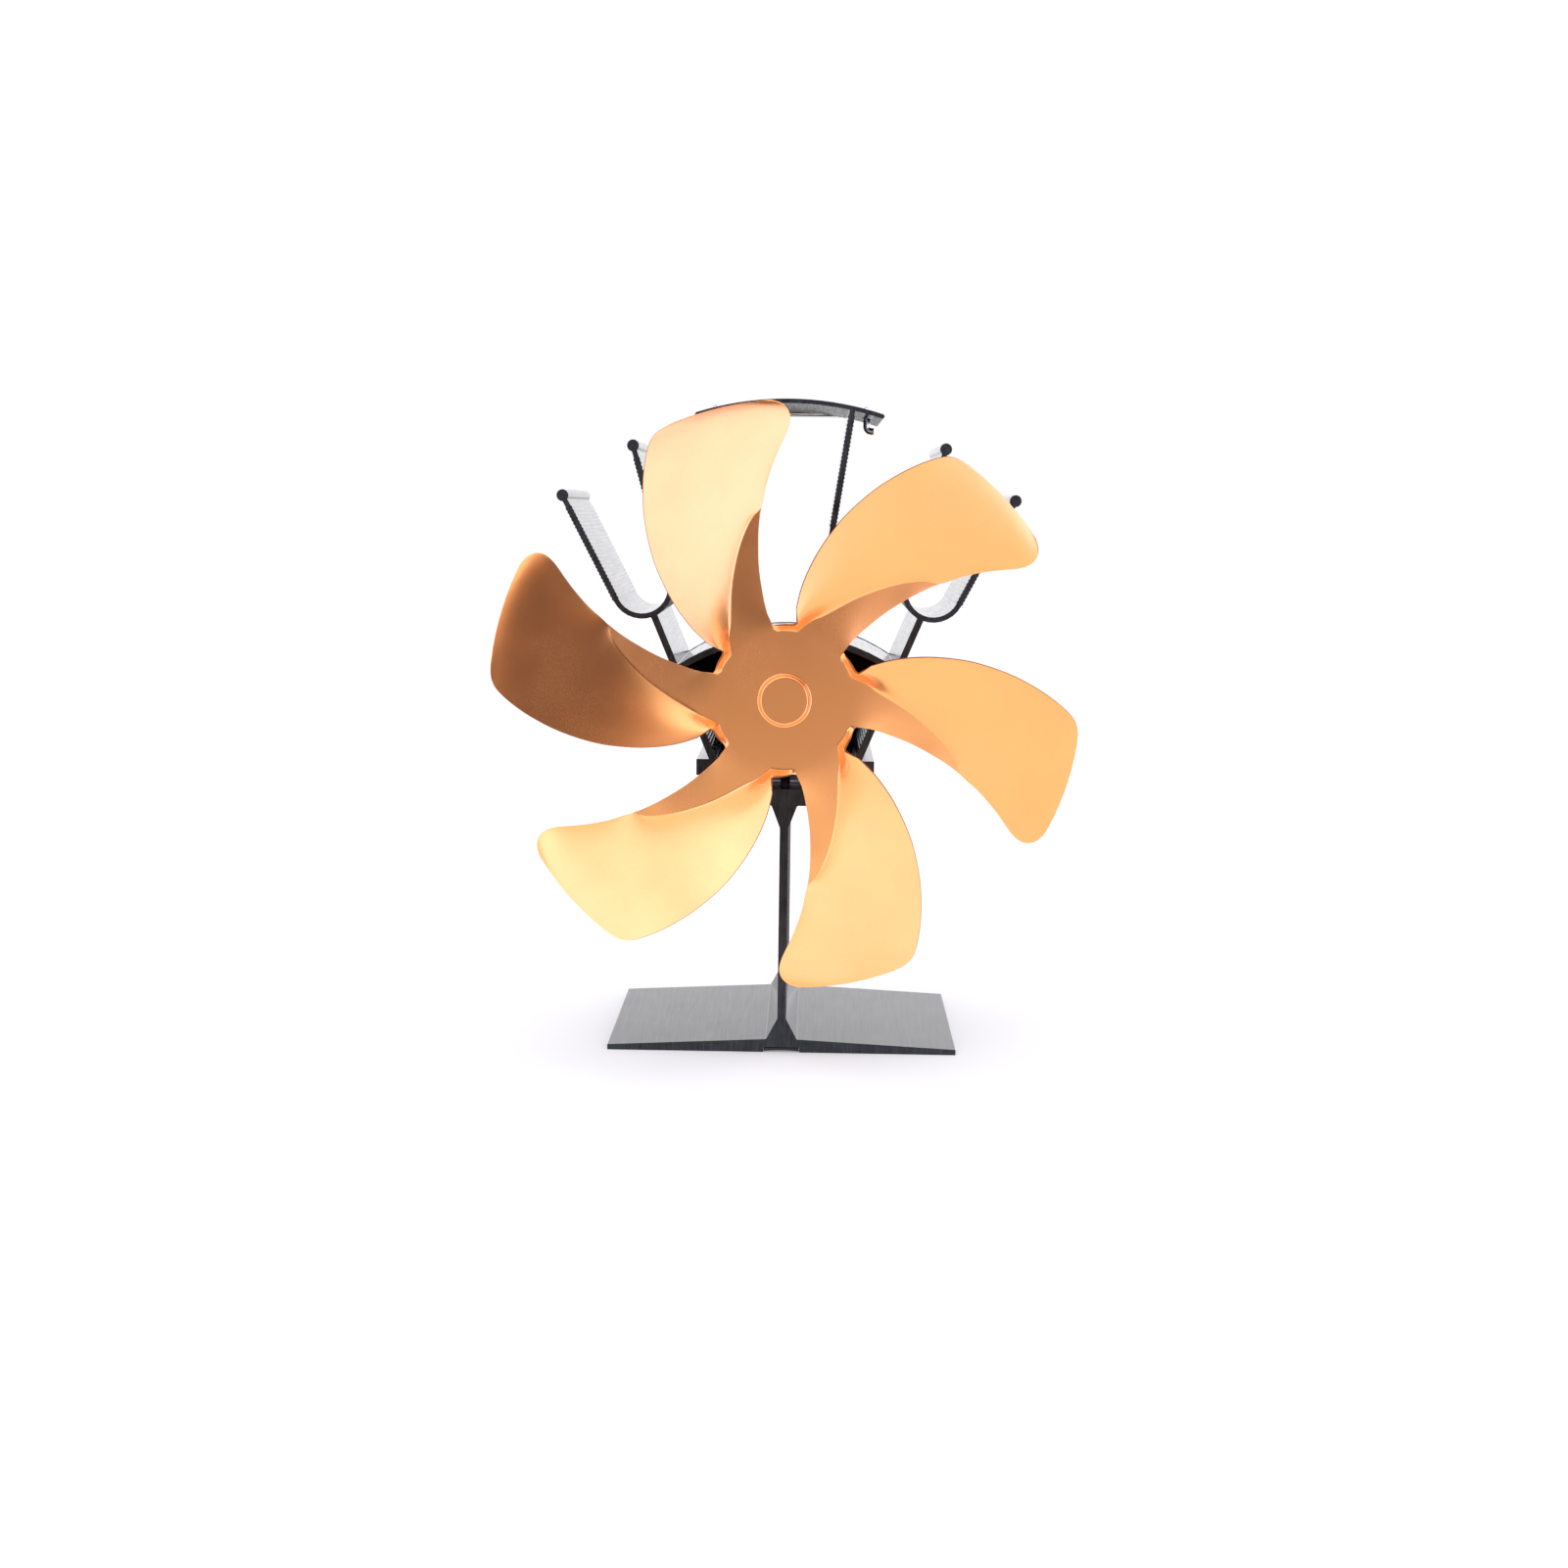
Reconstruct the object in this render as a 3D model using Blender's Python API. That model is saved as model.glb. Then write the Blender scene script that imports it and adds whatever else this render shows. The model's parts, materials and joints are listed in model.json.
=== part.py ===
"""Heat-powered stove fan: an extruded base, a thermoelectric module, a finned heat
sink, a small motor and a six-blade rotor. Written for Blender 4.5.

The rotor side is the front and faces -Y, +X is to the right as seen from the front,
and +Z is up. The origin is the bottom centre of the box round the whole fan.
Lengths are in metres and angles in degrees.
"""
import math

import bmesh
import bpy
from mathutils import Matrix, Vector

# Gaps and allowances
CLEARANCE = 0.0003
RUNNING_CLEARANCE = 0.0001
OVERRUN = 0.002
OVERLAP = 0.0004
SIDES = 32
SMALL_SIDES = 16
TUBE_RESOLUTION = 2

# Base extrusion
BASE_WIDTH = 0.115
BASE_LENGTH = 0.075
BASE_END_THICKNESS = 0.0018
BASE_FOOT_THICKNESS = 0.0044
BASE_FOOT_WIDTH = 0.0102
LOWER_FLARE_RISE = 0.007
WEB_THICKNESS = 0.00284
WEB_HEIGHT = 0.0636
UPPER_FLARE_RISE = 0.0073
UPPER_FLARE_WIDTH = 0.0084
FLANGE_WIDTH = 0.058
FLANGE_THICKNESS = 0.0054
FLANGE_CORNER_RADIUS = 0.0014
RECESS_WIDTH = 0.0118
RECESS_DEPTH = 0.0017

# Heat strip under the base
STRIP_WIDTH = 0.0108
STRIP_THICKNESS = 0.0008
STRIP_EDGE_THICKNESS = 0.0011
STRIP_STEPS = 8
STRIP_END_GAP = 0.0003
STRIP_RIVET_RADIUS = 0.0012
STRIP_RIVET_HEIGHT = 0.0022
STRIP_RIVET_INSET = 0.008

# Thermoelectric module between the flange and the heat sink
MODULE_WIDTH = 0.040
MODULE_PLATE_THICKNESS = 0.0007
MODULE_CORE_THICKNESS = 0.0013
MODULE_CORE_MARGIN = 0.001
MODULE_FILM = 0.0002

# Heat sink block and its place along the base
SINK_SETBACK = 0.0055
SINK_LENGTH = 0.061
BLOCK_WIDTH = 0.058
BLOCK_THICKNESS = 0.0053

# Heat sink arms
ARM_FOOT_SPACING = 0.0474
ARM_THICKNESS = 0.0022
ARM_TOOTH_MARGIN = 0.003
ARM_JOIN_ANGLE = 246.0

# Heat sink forks, with heights above the block's top
FORK_SPACING = 0.094
FORK_RISE = 0.0555
FORK_RADIUS = 0.0093
FORK_WALL = 0.0017
FORK_STEPS = 14
OUTER_TIP_SPACING = 0.145
OUTER_TIP_RISE = 0.0845
INNER_TIP_SPACING = 0.0998
INNER_TIP_RISE = 0.1005
TIP_RADIUS = 0.00193
TOOTH_PITCH = 0.0013
TOOTH_DEPTH = 0.00035
TOOTH_MARGIN = 0.002

# Heat sink arch, fins, side arcs and top plate, with heights above the block's top
ARCH_RISE = 0.0412
ARCH_RADIUS = 0.0642
ARCH_THICKNESS = 0.002
ARCH_STEPS = 14
FIN_SPACING = 0.0252
FIN_TOP_SPACING = 0.040
FIN_WALL = 0.0017
FIN_KNEE_RISE = 0.0645
FIN_KNEE_LENGTH = 0.011
KNEE_STEPS = 5
SIDE_ARC_THICKNESS = 0.0016
SIDE_ARC_FIN_RISE = 0.0600
SIDE_ARC_CROWN_SPACING = 0.055
SIDE_ARC_CROWN_RISE = 0.0681
SIDE_ARC_TINE_RISE = 0.0650
SIDE_ARC_STEPS = 10
TOP_PLATE_WIDTH = 0.0604
TOP_PLATE_RISE = 0.1158
TOP_PLATE_SAG = 0.0047
TOP_PLATE_THICKNESS = 0.0014
TOP_PLATE_STEPS = 18
NOSE_STEPS = 4

# Screw ports for the rear cover
PORT_SPACING = 0.0468
PORT_RISE = 0.0212
PORT_RADIUS = 0.0033
PORT_RIB_THICKNESS = 0.002

# Passage for the wires through the block, off centre towards -X
WIRE_SLOT_WIDTH = 0.0078
WIRE_SLOT_DEPTH = 0.0032
WIRE_SLOT_OFFSET = 0.0153
WIRE_SLOT_INSET = 0.005

# Rear cover
COVER_THICKNESS = 0.0012
COVER_FOOT_WIDTH = 0.056
COVER_NECK_WIDTH = 0.0486
COVER_SHOULDER_WIDTH = 0.074
COVER_SHOULDER_RISE = 0.0297
COVER_ARC_RISE = 0.0117
COVER_NECK_DROP = 0.0005
COVER_FOOT_GAP = 0.0005
COVER_STEPS = 20
VENT_CENTRE_RISE = 0.0094
VENT_HOLE_RADIUS = 0.0032
VENT_SLOT_RADII = (0.0088, 0.0163, 0.0240)
VENT_SLOT_WIDTH = 0.0044
VENT_SLOT_ANGLE = 38.5
VENT_STEPS = 10
DROP_WIDE_RADIUS = 0.0021
DROP_NARROW_RADIUS = 0.0009
DROP_INNER_SPACING = (0.0237, 0.0163)
DROP_OUTER_SPACING = (0.0398, 0.0314)
DROP_WIDE_RISE = 0.0123
DROP_NARROW_RISE = 0.0051

# Screws
CLAMP_SCREW_RADIUS = 0.00175
CLAMP_SCREW_DEPTH = 0.0078
CLAMP_SCREW_INSET = 0.0035
CLAMP_HEAD_RADIUS = 0.003
CLAMP_HEAD_HEIGHT = 0.0022
CLAMP_THREAD_PITCH = 0.0009
CLAMP_THREAD_DEPTH = 0.00025
WASHER_RADIUS = 0.0034
WASHER_THICKNESS = 0.0007
SMALL_SCREW_RADIUS = 0.0015
SMALL_HEAD_RADIUS = 0.0032
SMALL_HEAD_HEIGHT = 0.0021
COVER_SCREW_LENGTH = 0.009
BRACKET_SCREW_LENGTH = 0.006
BRACKET_HEAD_RADIUS = 0.0027
CROSS_WIDTH = 0.0009
CROSS_LENGTH = 0.0034
CROSS_DEPTH = 0.0012
HEAD_CROWN_SHARES = ((1.0, 0.0), (1.0, 0.35), (0.86, 0.72), (0.52, 0.95), (0.0, 1.0))

# Rotor, with radii of its outline as shares of the rotor's radius
ROTOR_RADIUS = 0.0934
ROTOR_AXIS_RISE = 0.0231
BLADE_COUNT = 6
SHEET_THICKNESS = 0.0008
HUB_REACH = 0.030
BOSS_RADIUS = 0.0084
BOSS_TOP_RADIUS = 0.0072
BOSS_HEIGHT = 0.0025
LEAD_RISE = 0.0096
CLAW_DROP = 0.0022
TRAIL_TIP_DROP = 0.0032
NOTCH_STEPS = 5
NOTCH_ROW_STEPS = 2
CLAW_STEPS = 3
ROW_STEPS = 2
BEND_SHARES = (0.0, 0.30, 0.54, 0.73, 0.88, 1.0)
CREASE_SHARES = (
    (49.6, 0.2315), (34.3, 0.322), (24.9, 0.4215), (19.1, 0.4955),
    (15.1, 0.549), (10.9, 0.602), (7.5, 0.634))
CLAW_EDGE_SHARES = (
    (10.4, 0.2315), (11.6, 0.276), (12.3, 0.326), (11.8, 0.426),
    (10.1, 0.525), (8.8, 0.586), (7.5, 0.634))
TRAIL_SHARES = (
    (7.5, 0.634), (5.4, 0.708), (2.9, 0.787), (0.3, 0.866),
    (-0.4, 0.910), (0.1, 0.940), (1.4, 0.960), (3.3, 0.970))
LEAD_SHARES = (
    (55.0, 0.304), (52.5, 0.376), (49.0, 0.466), (45.8, 0.550), (43.2, 0.616),
    (40.2, 0.684), (37.1, 0.753), (34.5, 0.807), (32.5, 0.848), (30.2, 0.893),
    (28.4, 0.925), (27.0, 0.943), (25.2, 0.954), (22.8, 0.959))
LEAD_RISE_SHARES = (
    0.24, 0.42, 0.64, 0.77, 0.84, 0.90, 0.95, 0.98, 1.0, 1.0, 1.0, 1.0, 1.0, 1.0)

# Hub bushing and its set screw
BUSHING_RADIUS = 0.005
BUSHING_LENGTH = 0.0085
BUSHING_FLANGE_RADIUS = 0.0085
BUSHING_FLANGE_THICKNESS = 0.0015
BUSHING_NOSE_RADIUS = 0.006
SET_SCREW_RADIUS = 0.0012
SET_SCREW_LENGTH = 0.0032
SET_SCREW_INSET = 0.003

# Motor
MOTOR_RADIUS = 0.01385
MOTOR_LENGTH = 0.036
MOTOR_WALL = 0.001
MOTOR_BOSS_RADIUS = 0.005
MOTOR_BOSS_LENGTH = 0.0015
MOTOR_HUB_GAP = 0.0012
SHAFT_RADIUS = 0.00115
SHAFT_TAIL = 0.001
BEARING_RADIUS = 0.003
BEARING_LENGTH = 0.004
CAP_PLUG_LENGTH = 0.003
CAP_THICKNESS = 0.002
MAGNET_THICKNESS = 0.0023
MAGNET_LENGTH = 0.020
MAGNET_HALF_ANGLE = 70.0
MAGNET_STEPS = 10
MAGNET_INSET = 0.003
AIR_GAP = 0.0006
CORE_LENGTH = 0.014
CORE_INSET = 0.006
POLE_COUNT = 3
POLE_HALF_ANGLE = 42.0
POLE_NECK_WIDTH = 0.0028
POLE_SHOE_THICKNESS = 0.0014
CORE_HUB_RADIUS = 0.003
POLE_STEPS = 6
WINDING_OVERHANG = 0.0015
WINDING_RADIUS_MARGIN = 0.0004
COMMUTATOR_RADIUS = 0.0026
COMMUTATOR_LENGTH = 0.005
BRUSH_WIDTH = 0.0022
BRUSH_THICKNESS = 0.001
BRUSH_BLOCK_LENGTH = 0.003
TERMINAL_SPACING = 0.015
TERMINAL_WIDTH = 0.0024
TERMINAL_THICKNESS = 0.0006
TERMINAL_TAIL = 0.004

# Motor bracket
BRACKET_SETBACK = 0.001
BRACKET_DEPTH = 0.009
BRACKET_THICKNESS = 0.0015
BRACKET_LEG_SPACING = 0.0205
BRACKET_FOOT_WIDTH = 0.0425
BRACKET_SCREW_SPACING = 0.033

# Wires, radius and routes by hand: x, y behind the base's front edge, z above the block's top
WIRE_RADIUS = 0.00085
ROUTE_STEPS = 4
RED_ROUTE = (
    (0.0075, 0.0285, 0.0231), (0.0072, 0.0330, 0.0262), (0.0045, 0.0400, 0.0318),
    (-0.0020, 0.0465, 0.0341), (-0.0090, 0.0500, 0.0318), (-0.0142, 0.0520, 0.0262),
    (-0.0152, 0.0545, 0.0190), (-0.0138, 0.0585, 0.0110), (-0.0134, 0.0605, 0.0050),
    (-0.0134, 0.0609, 0.0005), (-0.0134, 0.0606, -0.0050), (-0.0134, 0.0592, -0.0067),
    (-0.0134, 0.0575, -0.0071))
BLACK_ROUTE = (
    (-0.0075, 0.0285, 0.0231), (-0.0082, 0.0320, 0.0222), (-0.0105, 0.0380, 0.0188),
    (-0.0135, 0.0440, 0.0142), (-0.0162, 0.0505, 0.0100), (-0.0172, 0.0570, 0.0072),
    (-0.0172, 0.0602, 0.0040), (-0.0172, 0.0609, 0.0000), (-0.0172, 0.0606, -0.0050),
    (-0.0172, 0.0592, -0.0067), (-0.0172, 0.0575, -0.0071))

# Carrying handle
HANDLE_WIRE_RADIUS = 0.0011
HANDLE_HOLE_SPACING = 0.0504
HANDLE_SWING = 50.0
HANDLE_CORNER_RADIUS = 0.003
HANDLE_ELBOW_RADIUS = 0.0018
HOOK_REACH = 0.0024
HOOK_RADIUS = 0.0016
BEND_STEPS = 5

# Places that follow from the sizes above
BASE_FRONT = (HUB_REACH + LEAD_RISE - BASE_LENGTH) / 2
BASE_REAR = BASE_FRONT + BASE_LENGTH
FLARE_TOP = BASE_FOOT_THICKNESS + LOWER_FLARE_RISE
WEB_TOP = FLARE_TOP + WEB_HEIGHT
FLANGE_BOTTOM = WEB_TOP + UPPER_FLARE_RISE
FLANGE_TOP = FLANGE_BOTTOM + FLANGE_THICKNESS
MODULE_HEIGHT = 2 * MODULE_PLATE_THICKNESS + MODULE_CORE_THICKNESS + 4 * MODULE_FILM
BLOCK_BOTTOM = FLANGE_TOP + MODULE_HEIGHT
BLOCK_TOP = BLOCK_BOTTOM + BLOCK_THICKNESS
SINK_FRONT = BASE_FRONT + SINK_SETBACK
SINK_REAR = SINK_FRONT + SINK_LENGTH
SINK_MIDDLE = (SINK_FRONT + SINK_REAR) / 2
ARCH_TOP = BLOCK_TOP + ARCH_RISE
ARCH_CENTRE = ARCH_TOP - ARCH_RADIUS
PLATE_TOP = BLOCK_TOP + TOP_PLATE_RISE
PLATE_RADIUS = ((TOP_PLATE_WIDTH / 2) ** 2 + TOP_PLATE_SAG ** 2) / (2 * TOP_PLATE_SAG)
PLATE_CENTRE = PLATE_TOP - PLATE_RADIUS
PORT_HEIGHT = BLOCK_TOP + PORT_RISE
AXIS_HEIGHT = BLOCK_TOP + ROTOR_AXIS_RISE
HUB_FRONT = BASE_FRONT - HUB_REACH
HUB_REAR = HUB_FRONT + SHEET_THICKNESS
BUSHING_FRONT = HUB_REAR + CLEARANCE
BUSHING_REAR = BUSHING_FRONT + BUSHING_LENGTH
MOTOR_FRONT = BUSHING_REAR + MOTOR_HUB_GAP + MOTOR_BOSS_LENGTH
MOTOR_REAR = MOTOR_FRONT + MOTOR_LENGTH
CAP_FRONT = MOTOR_REAR + CLEARANCE - CAP_PLUG_LENGTH
CAP_REAR = MOTOR_REAR + CLEARANCE + CAP_THICKNESS
MAGNET_OUTER = MOTOR_RADIUS - MOTOR_WALL - CLEARANCE
MAGNET_INNER = MAGNET_OUTER - MAGNET_THICKNESS
CORE_RADIUS = MAGNET_INNER - AIR_GAP
CORE_FRONT = MOTOR_FRONT + CORE_INSET
CORE_REAR = CORE_FRONT + CORE_LENGTH
COMMUTATOR_FRONT = CORE_REAR + WINDING_OVERHANG + CLEARANCE
BRACKET_FRONT = SINK_FRONT + BRACKET_SETBACK
BRACKET_MIDDLE = BRACKET_FRONT + BRACKET_DEPTH / 2
COVER_FRONT = SINK_REAR + CLEARANCE
COVER_REAR = COVER_FRONT + COVER_THICKNESS
BORE_CLEARANCE = SHAFT_RADIUS + RUNNING_CLEARANCE


def clear_scene():
    """Remove every object of the scene."""
    for item in list(bpy.data.objects):
        bpy.data.objects.remove(item, do_unlink=True)


def make_material(name, colour, roughness, metallic):
    """Return a Principled material."""
    material = bpy.data.materials.new(name)
    material.use_nodes = True
    shader = material.node_tree.nodes["Principled BSDF"]
    shader.inputs["Base Color"].default_value = (*colour, 1.0)
    shader.inputs["Roughness"].default_value = roughness
    shader.inputs["Metallic"].default_value = metallic
    return material


def add_object(name, shape, material, sharp_angle=35.0):
    """Make an object from a bmesh, shaded smooth between its sharp edges."""
    bmesh.ops.recalc_face_normals(shape, faces=shape.faces)
    mesh = bpy.data.meshes.new(name)
    shape.to_mesh(mesh)
    shape.free()
    mesh.shade_smooth()
    mesh.set_sharp_from_angle(angle=math.radians(sharp_angle))
    mesh.materials.append(material)
    item = bpy.data.objects.new(name, mesh)
    bpy.context.scene.collection.objects.link(item)
    return item


def bake(item):
    """Turn an object's modifiers into its mesh."""
    graph = bpy.context.evaluated_depsgraph_get()
    mesh = bpy.data.meshes.new_from_object(item.evaluated_get(graph))
    item.modifiers.clear()
    item.data = mesh


def combine(target, tools, operation):
    """Unite tools with the target, or cut them out of it, and remove them."""
    for tool in tools:
        modifier = target.modifiers.new(operation.lower(), "BOOLEAN")
        modifier.operation = operation
        modifier.solver = "EXACT"
        modifier.object = tool
        bake(target)
        bpy.data.objects.remove(tool, do_unlink=True)
    return target


def polar(angle, radius, centre=(0.0, 0.0)):
    """Return the point at an angle and radius round a centre."""
    turn = math.radians(angle)
    return Vector((centre[0] + radius * math.cos(turn), centre[1] + radius * math.sin(turn)))


def mirrored(outline):
    """Return an outline mirrored in X, in the same turning sense."""
    return [(-point[0], point[1]) for point in reversed(outline)]


def place(plane, first, second, along):
    """Map outline coordinates to the frame: front is X-Z, top is X-Y, side is Y-Z."""
    if plane == "front":
        return (first, along, second)
    if plane == "top":
        return (first, second, along)
    return (along, first, second)


def prism(name, outline, start, end, material, plane="front"):
    """Extrude a closed outline between two places along the plane's normal."""
    shape = bmesh.new()
    near = [shape.verts.new(place(plane, x, z, start)) for x, z in outline]
    far = [shape.verts.new(place(plane, x, z, end)) for x, z in outline]
    shape.faces.new(near)
    shape.faces.new(far[::-1])
    for index in range(len(outline)):
        following = (index + 1) % len(outline)
        shape.faces.new((near[index], far[index], far[following], near[following]))
    return add_object(name, shape, material)


def rectangle(width, height, centre=(0.0, 0.0)):
    """Return a rectangle's outline."""
    half_width = width / 2
    half_height = height / 2
    corners = ((-1, -1), (1, -1), (1, 1), (-1, 1))
    return [(centre[0] + half_width * x, centre[1] + half_height * z) for x, z in corners]


def circle(radius, centre=(0.0, 0.0), steps=SMALL_SIDES):
    """Return a circle's outline."""
    return [tuple(polar(360 * index / steps, radius, centre)) for index in range(steps)]


def turned(name, profile, centre, material, axis="Y", steps=SIDES):
    """Turn a closed profile of (radius, distance along the axis) points."""
    shape = bmesh.new()
    rings = []
    for radius, along in profile:
        count = steps if radius > 0 else 1
        ring = []
        for index in range(count):
            first, second = polar(360 * index / steps, radius)
            local = {"Y": (first, along, second), "Z": (first, second, along),
                     "X": (along, first, second)}[axis]
            ring.append(shape.verts.new(Vector(centre) + Vector(local)))
        rings.append(ring)
    for ring, following in zip(rings, rings[1:] + rings[:1]):
        if len(ring) == 1 and len(following) == 1:
            continue
        for index in range(steps):
            after = (index + 1) % steps
            corners = [ring[index % len(ring)], ring[after % len(ring)],
                       following[after % len(following)], following[index % len(following)]]
            shape.faces.new(dict.fromkeys(corners))
    return add_object(name, shape, material)


def ring_profile(inner, outer, start, end):
    """Return the profile of a plain ring."""
    return [(inner, start), (outer, start), (outer, end), (inner, end)]


def run_stations(start, end, pitch=None, depth=0.0):
    """Return stations along a straight wall, as (point, extra half thickness)."""
    if pitch is None:
        return [(start, 0.0), (end, 0.0)]
    count = 2 * max(1, round((end - start).length / pitch))
    return [(start.lerp(end, index / count), depth * (index % 2)) for index in range(count + 1)]


def arc_stations(centre, radius, first, last, steps):
    """Return stations along an arc from one angle to another."""
    return [(polar(first + (last - first) * index / steps, radius, centre), 0.0)
            for index in range(steps + 1)]


def bend_stations(start, corner, end, steps):
    """Return stations along a soft bend from start to end, drawn towards its corner."""
    stations = []
    for index in range(steps + 1):
        share = index / steps
        point = start.lerp(corner, share).lerp(corner.lerp(end, share), share)
        stations.append((point, 0.0))
    return stations


def join_stations(*groups):
    """Join groups of stations, leaving out points that repeat."""
    joined = []
    for station in (item for group in groups for item in group):
        if not joined or (station[0] - joined[-1][0]).length > CLEARANCE / 10:
            joined.append(station)
    return joined


def nose_points(point, direction, half, steps):
    """Return the points of a round end, from the left side to the right side."""
    heading = math.degrees(math.atan2(direction.y, direction.x))
    return [polar(heading + 90 - 180 * index / steps, half, point) for index in range(1, steps)]


def wall_outline(stations, thickness, teeth=(1, 1), nose=False):
    """Return the outline of a wall along its stations, with teeth on the chosen sides."""
    half = thickness / 2
    left = []
    right = []
    points = [station[0] for station in stations]
    last = len(points) - 1
    for index, (point, extra) in enumerate(stations):
        before = (point - points[index - 1]).normalized() if index else None
        after = (points[index + 1] - point).normalized() if index < last else None
        before = before or after
        after = after or before
        tangent = (before + after).normalized()
        normal = Vector((-tangent.y, tangent.x))
        mitre = 1 / max(normal.dot(Vector((-before.y, before.x))), 0.5)
        left.append(point + normal * (half * mitre + extra * teeth[0]))
        right.append(point - normal * (half * mitre + extra * teeth[1]))
    ends = []
    starts = []
    if nose:
        ends = nose_points(points[-1], points[-1] - points[-2], half, NOSE_STEPS)
        starts = nose_points(points[0], points[0] - points[1], half, NOSE_STEPS)
    return [tuple(point) for point in left + ends + right[::-1] + starts]


def tangent_angle(point, centre, radius, side):
    """Return the angle on a circle where a line from a point outside touches it."""
    offset = point - centre
    spread = math.degrees(math.acos(radius / offset.length))
    return math.degrees(math.atan2(offset.y, offset.x)) + side * spread


def circle_through(first, second, third):
    """Return the centre and radius of the circle through three points."""
    a, b, c = first, second, third
    twice = 2 * (a.x * (b.y - c.y) + b.x * (c.y - a.y) + c.x * (a.y - b.y))
    squares = [point.length_squared for point in (a, b, c)]
    x = squares[0] * (b.y - c.y) + squares[1] * (c.y - a.y) + squares[2] * (a.y - b.y)
    y = squares[0] * (c.x - b.x) + squares[1] * (a.x - c.x) + squares[2] * (b.x - a.x)
    centre = Vector((x / twice, y / twice))
    return centre, (first - centre).length


def along_line(start, end, height):
    """Return the point of a line at a height."""
    return start.lerp(end, (height - start.y) / (end.y - start.y))


def height_on_circle(x, centre_height, radius):
    """Return the height of a circle on the centre line, above a place x."""
    return centre_height + math.sqrt(radius ** 2 - x ** 2)


def meet_circle(start, end, centre_height, radius):
    """Return where a rising line meets a circle that is centred on x = 0."""
    share = 0.0
    step = 0.5
    for _ in range(30):
        point = start.lerp(end, share + step)
        if (point - Vector((0.0, centre_height))).length < radius:
            share += step
        step /= 2
    return start.lerp(end, share)


def base_outline():
    """Return the base's section: tapered plate, flared web and top flange."""
    corner = FLANGE_CORNER_RADIUS
    half = FLANGE_WIDTH / 2
    round_corner = [tuple(polar(angle, corner, (half - corner, FLANGE_BOTTOM + corner)))
                    for angle in (-90, -60, -30, 0)]
    side = [
        (RECESS_WIDTH / 2, RECESS_DEPTH), (RECESS_WIDTH / 2, 0.0), (BASE_WIDTH / 2, 0.0),
        (BASE_WIDTH / 2, BASE_END_THICKNESS), (BASE_FOOT_WIDTH / 2, BASE_FOOT_THICKNESS),
        (WEB_THICKNESS / 2, FLARE_TOP), (WEB_THICKNESS / 2, WEB_TOP),
        (UPPER_FLARE_WIDTH / 2, FLANGE_BOTTOM), *round_corner,
        (half, FLANGE_TOP - corner / 2), (half - corner / 2, FLANGE_TOP)]
    return side + mirrored(side)


def clamp_screw_places():
    """Return the two clamp screws' places along Y."""
    return (SINK_FRONT + CLAMP_SCREW_INSET, SINK_REAR - CLAMP_SCREW_INSET)


def make_base(material):
    """Make the base extrusion with its two tapped holes and the strip's rivet hole."""
    base = prism("base_extrusion", base_outline(), BASE_FRONT, BASE_REAR, material)
    hole = CLAMP_SCREW_RADIUS + CLEARANCE
    bottom = FLANGE_TOP - CLAMP_SCREW_DEPTH - CLEARANCE
    tools = [prism("hole", circle(hole, (0.0, y)), bottom, FLANGE_TOP + OVERRUN, material, "top")
             for y in clamp_screw_places()]
    rivet_y = BASE_REAR - STRIP_RIVET_INSET
    rivet_top = RECESS_DEPTH + STRIP_RIVET_HEIGHT
    rivet_hole = circle(STRIP_RIVET_RADIUS + CLEARANCE, (0.0, rivet_y))
    tools.append(prism("rivet_hole", rivet_hole, -OVERRUN, rivet_top + CLEARANCE, material, "top"))
    return combine(base, tools, "DIFFERENCE")


def strip_outline():
    """Return the heat strip's section: flat above and hollowed below."""
    top = RECESS_DEPTH - CLEARANCE
    sag = STRIP_EDGE_THICKNESS - STRIP_THICKNESS
    half = STRIP_WIDTH / 2
    radius = (half ** 2 + sag ** 2) / (2 * sag)
    angle = math.degrees(math.asin(half / radius))
    centre = (0.0, top - STRIP_THICKNESS - radius)
    under = arc_stations(centre, radius, 90 - angle, 90 + angle, STRIP_STEPS)
    return [(half, top)] + [tuple(point) for point, _ in under] + [(-half, top)]


def make_strip(material):
    """Make the heat strip that lies in the base's recess, with its rivet."""
    strip = prism("heat_strip", strip_outline(), BASE_FRONT + STRIP_END_GAP,
                  BASE_REAR - STRIP_END_GAP, material)
    place_y = BASE_REAR - STRIP_RIVET_INSET
    bottom = RECESS_DEPTH - CLEARANCE - STRIP_THICKNESS / 2
    rivet = prism("rivet", circle(STRIP_RIVET_RADIUS, (0.0, place_y)), bottom,
                  RECESS_DEPTH + STRIP_RIVET_HEIGHT, material, "top")
    return combine(strip, [rivet], "UNION")


def make_module(plate_material, core_material):
    """Make the thermoelectric module: two plates with the core of pellets between them."""
    bottom = FLANGE_TOP + MODULE_FILM
    layers = (
        ("module_hot_plate", MODULE_PLATE_THICKNESS, 0.0, plate_material),
        ("module_core", MODULE_CORE_THICKNESS, MODULE_CORE_MARGIN, core_material),
        ("module_cold_plate", MODULE_PLATE_THICKNESS, 0.0, plate_material))
    for name, thickness, margin, material in layers:
        width = MODULE_WIDTH - 2 * margin
        outline = rectangle(width, width, (0.0, SINK_MIDDLE))
        prism(name, outline, bottom, bottom + thickness, material, "top")
        bottom += thickness + MODULE_FILM


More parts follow.
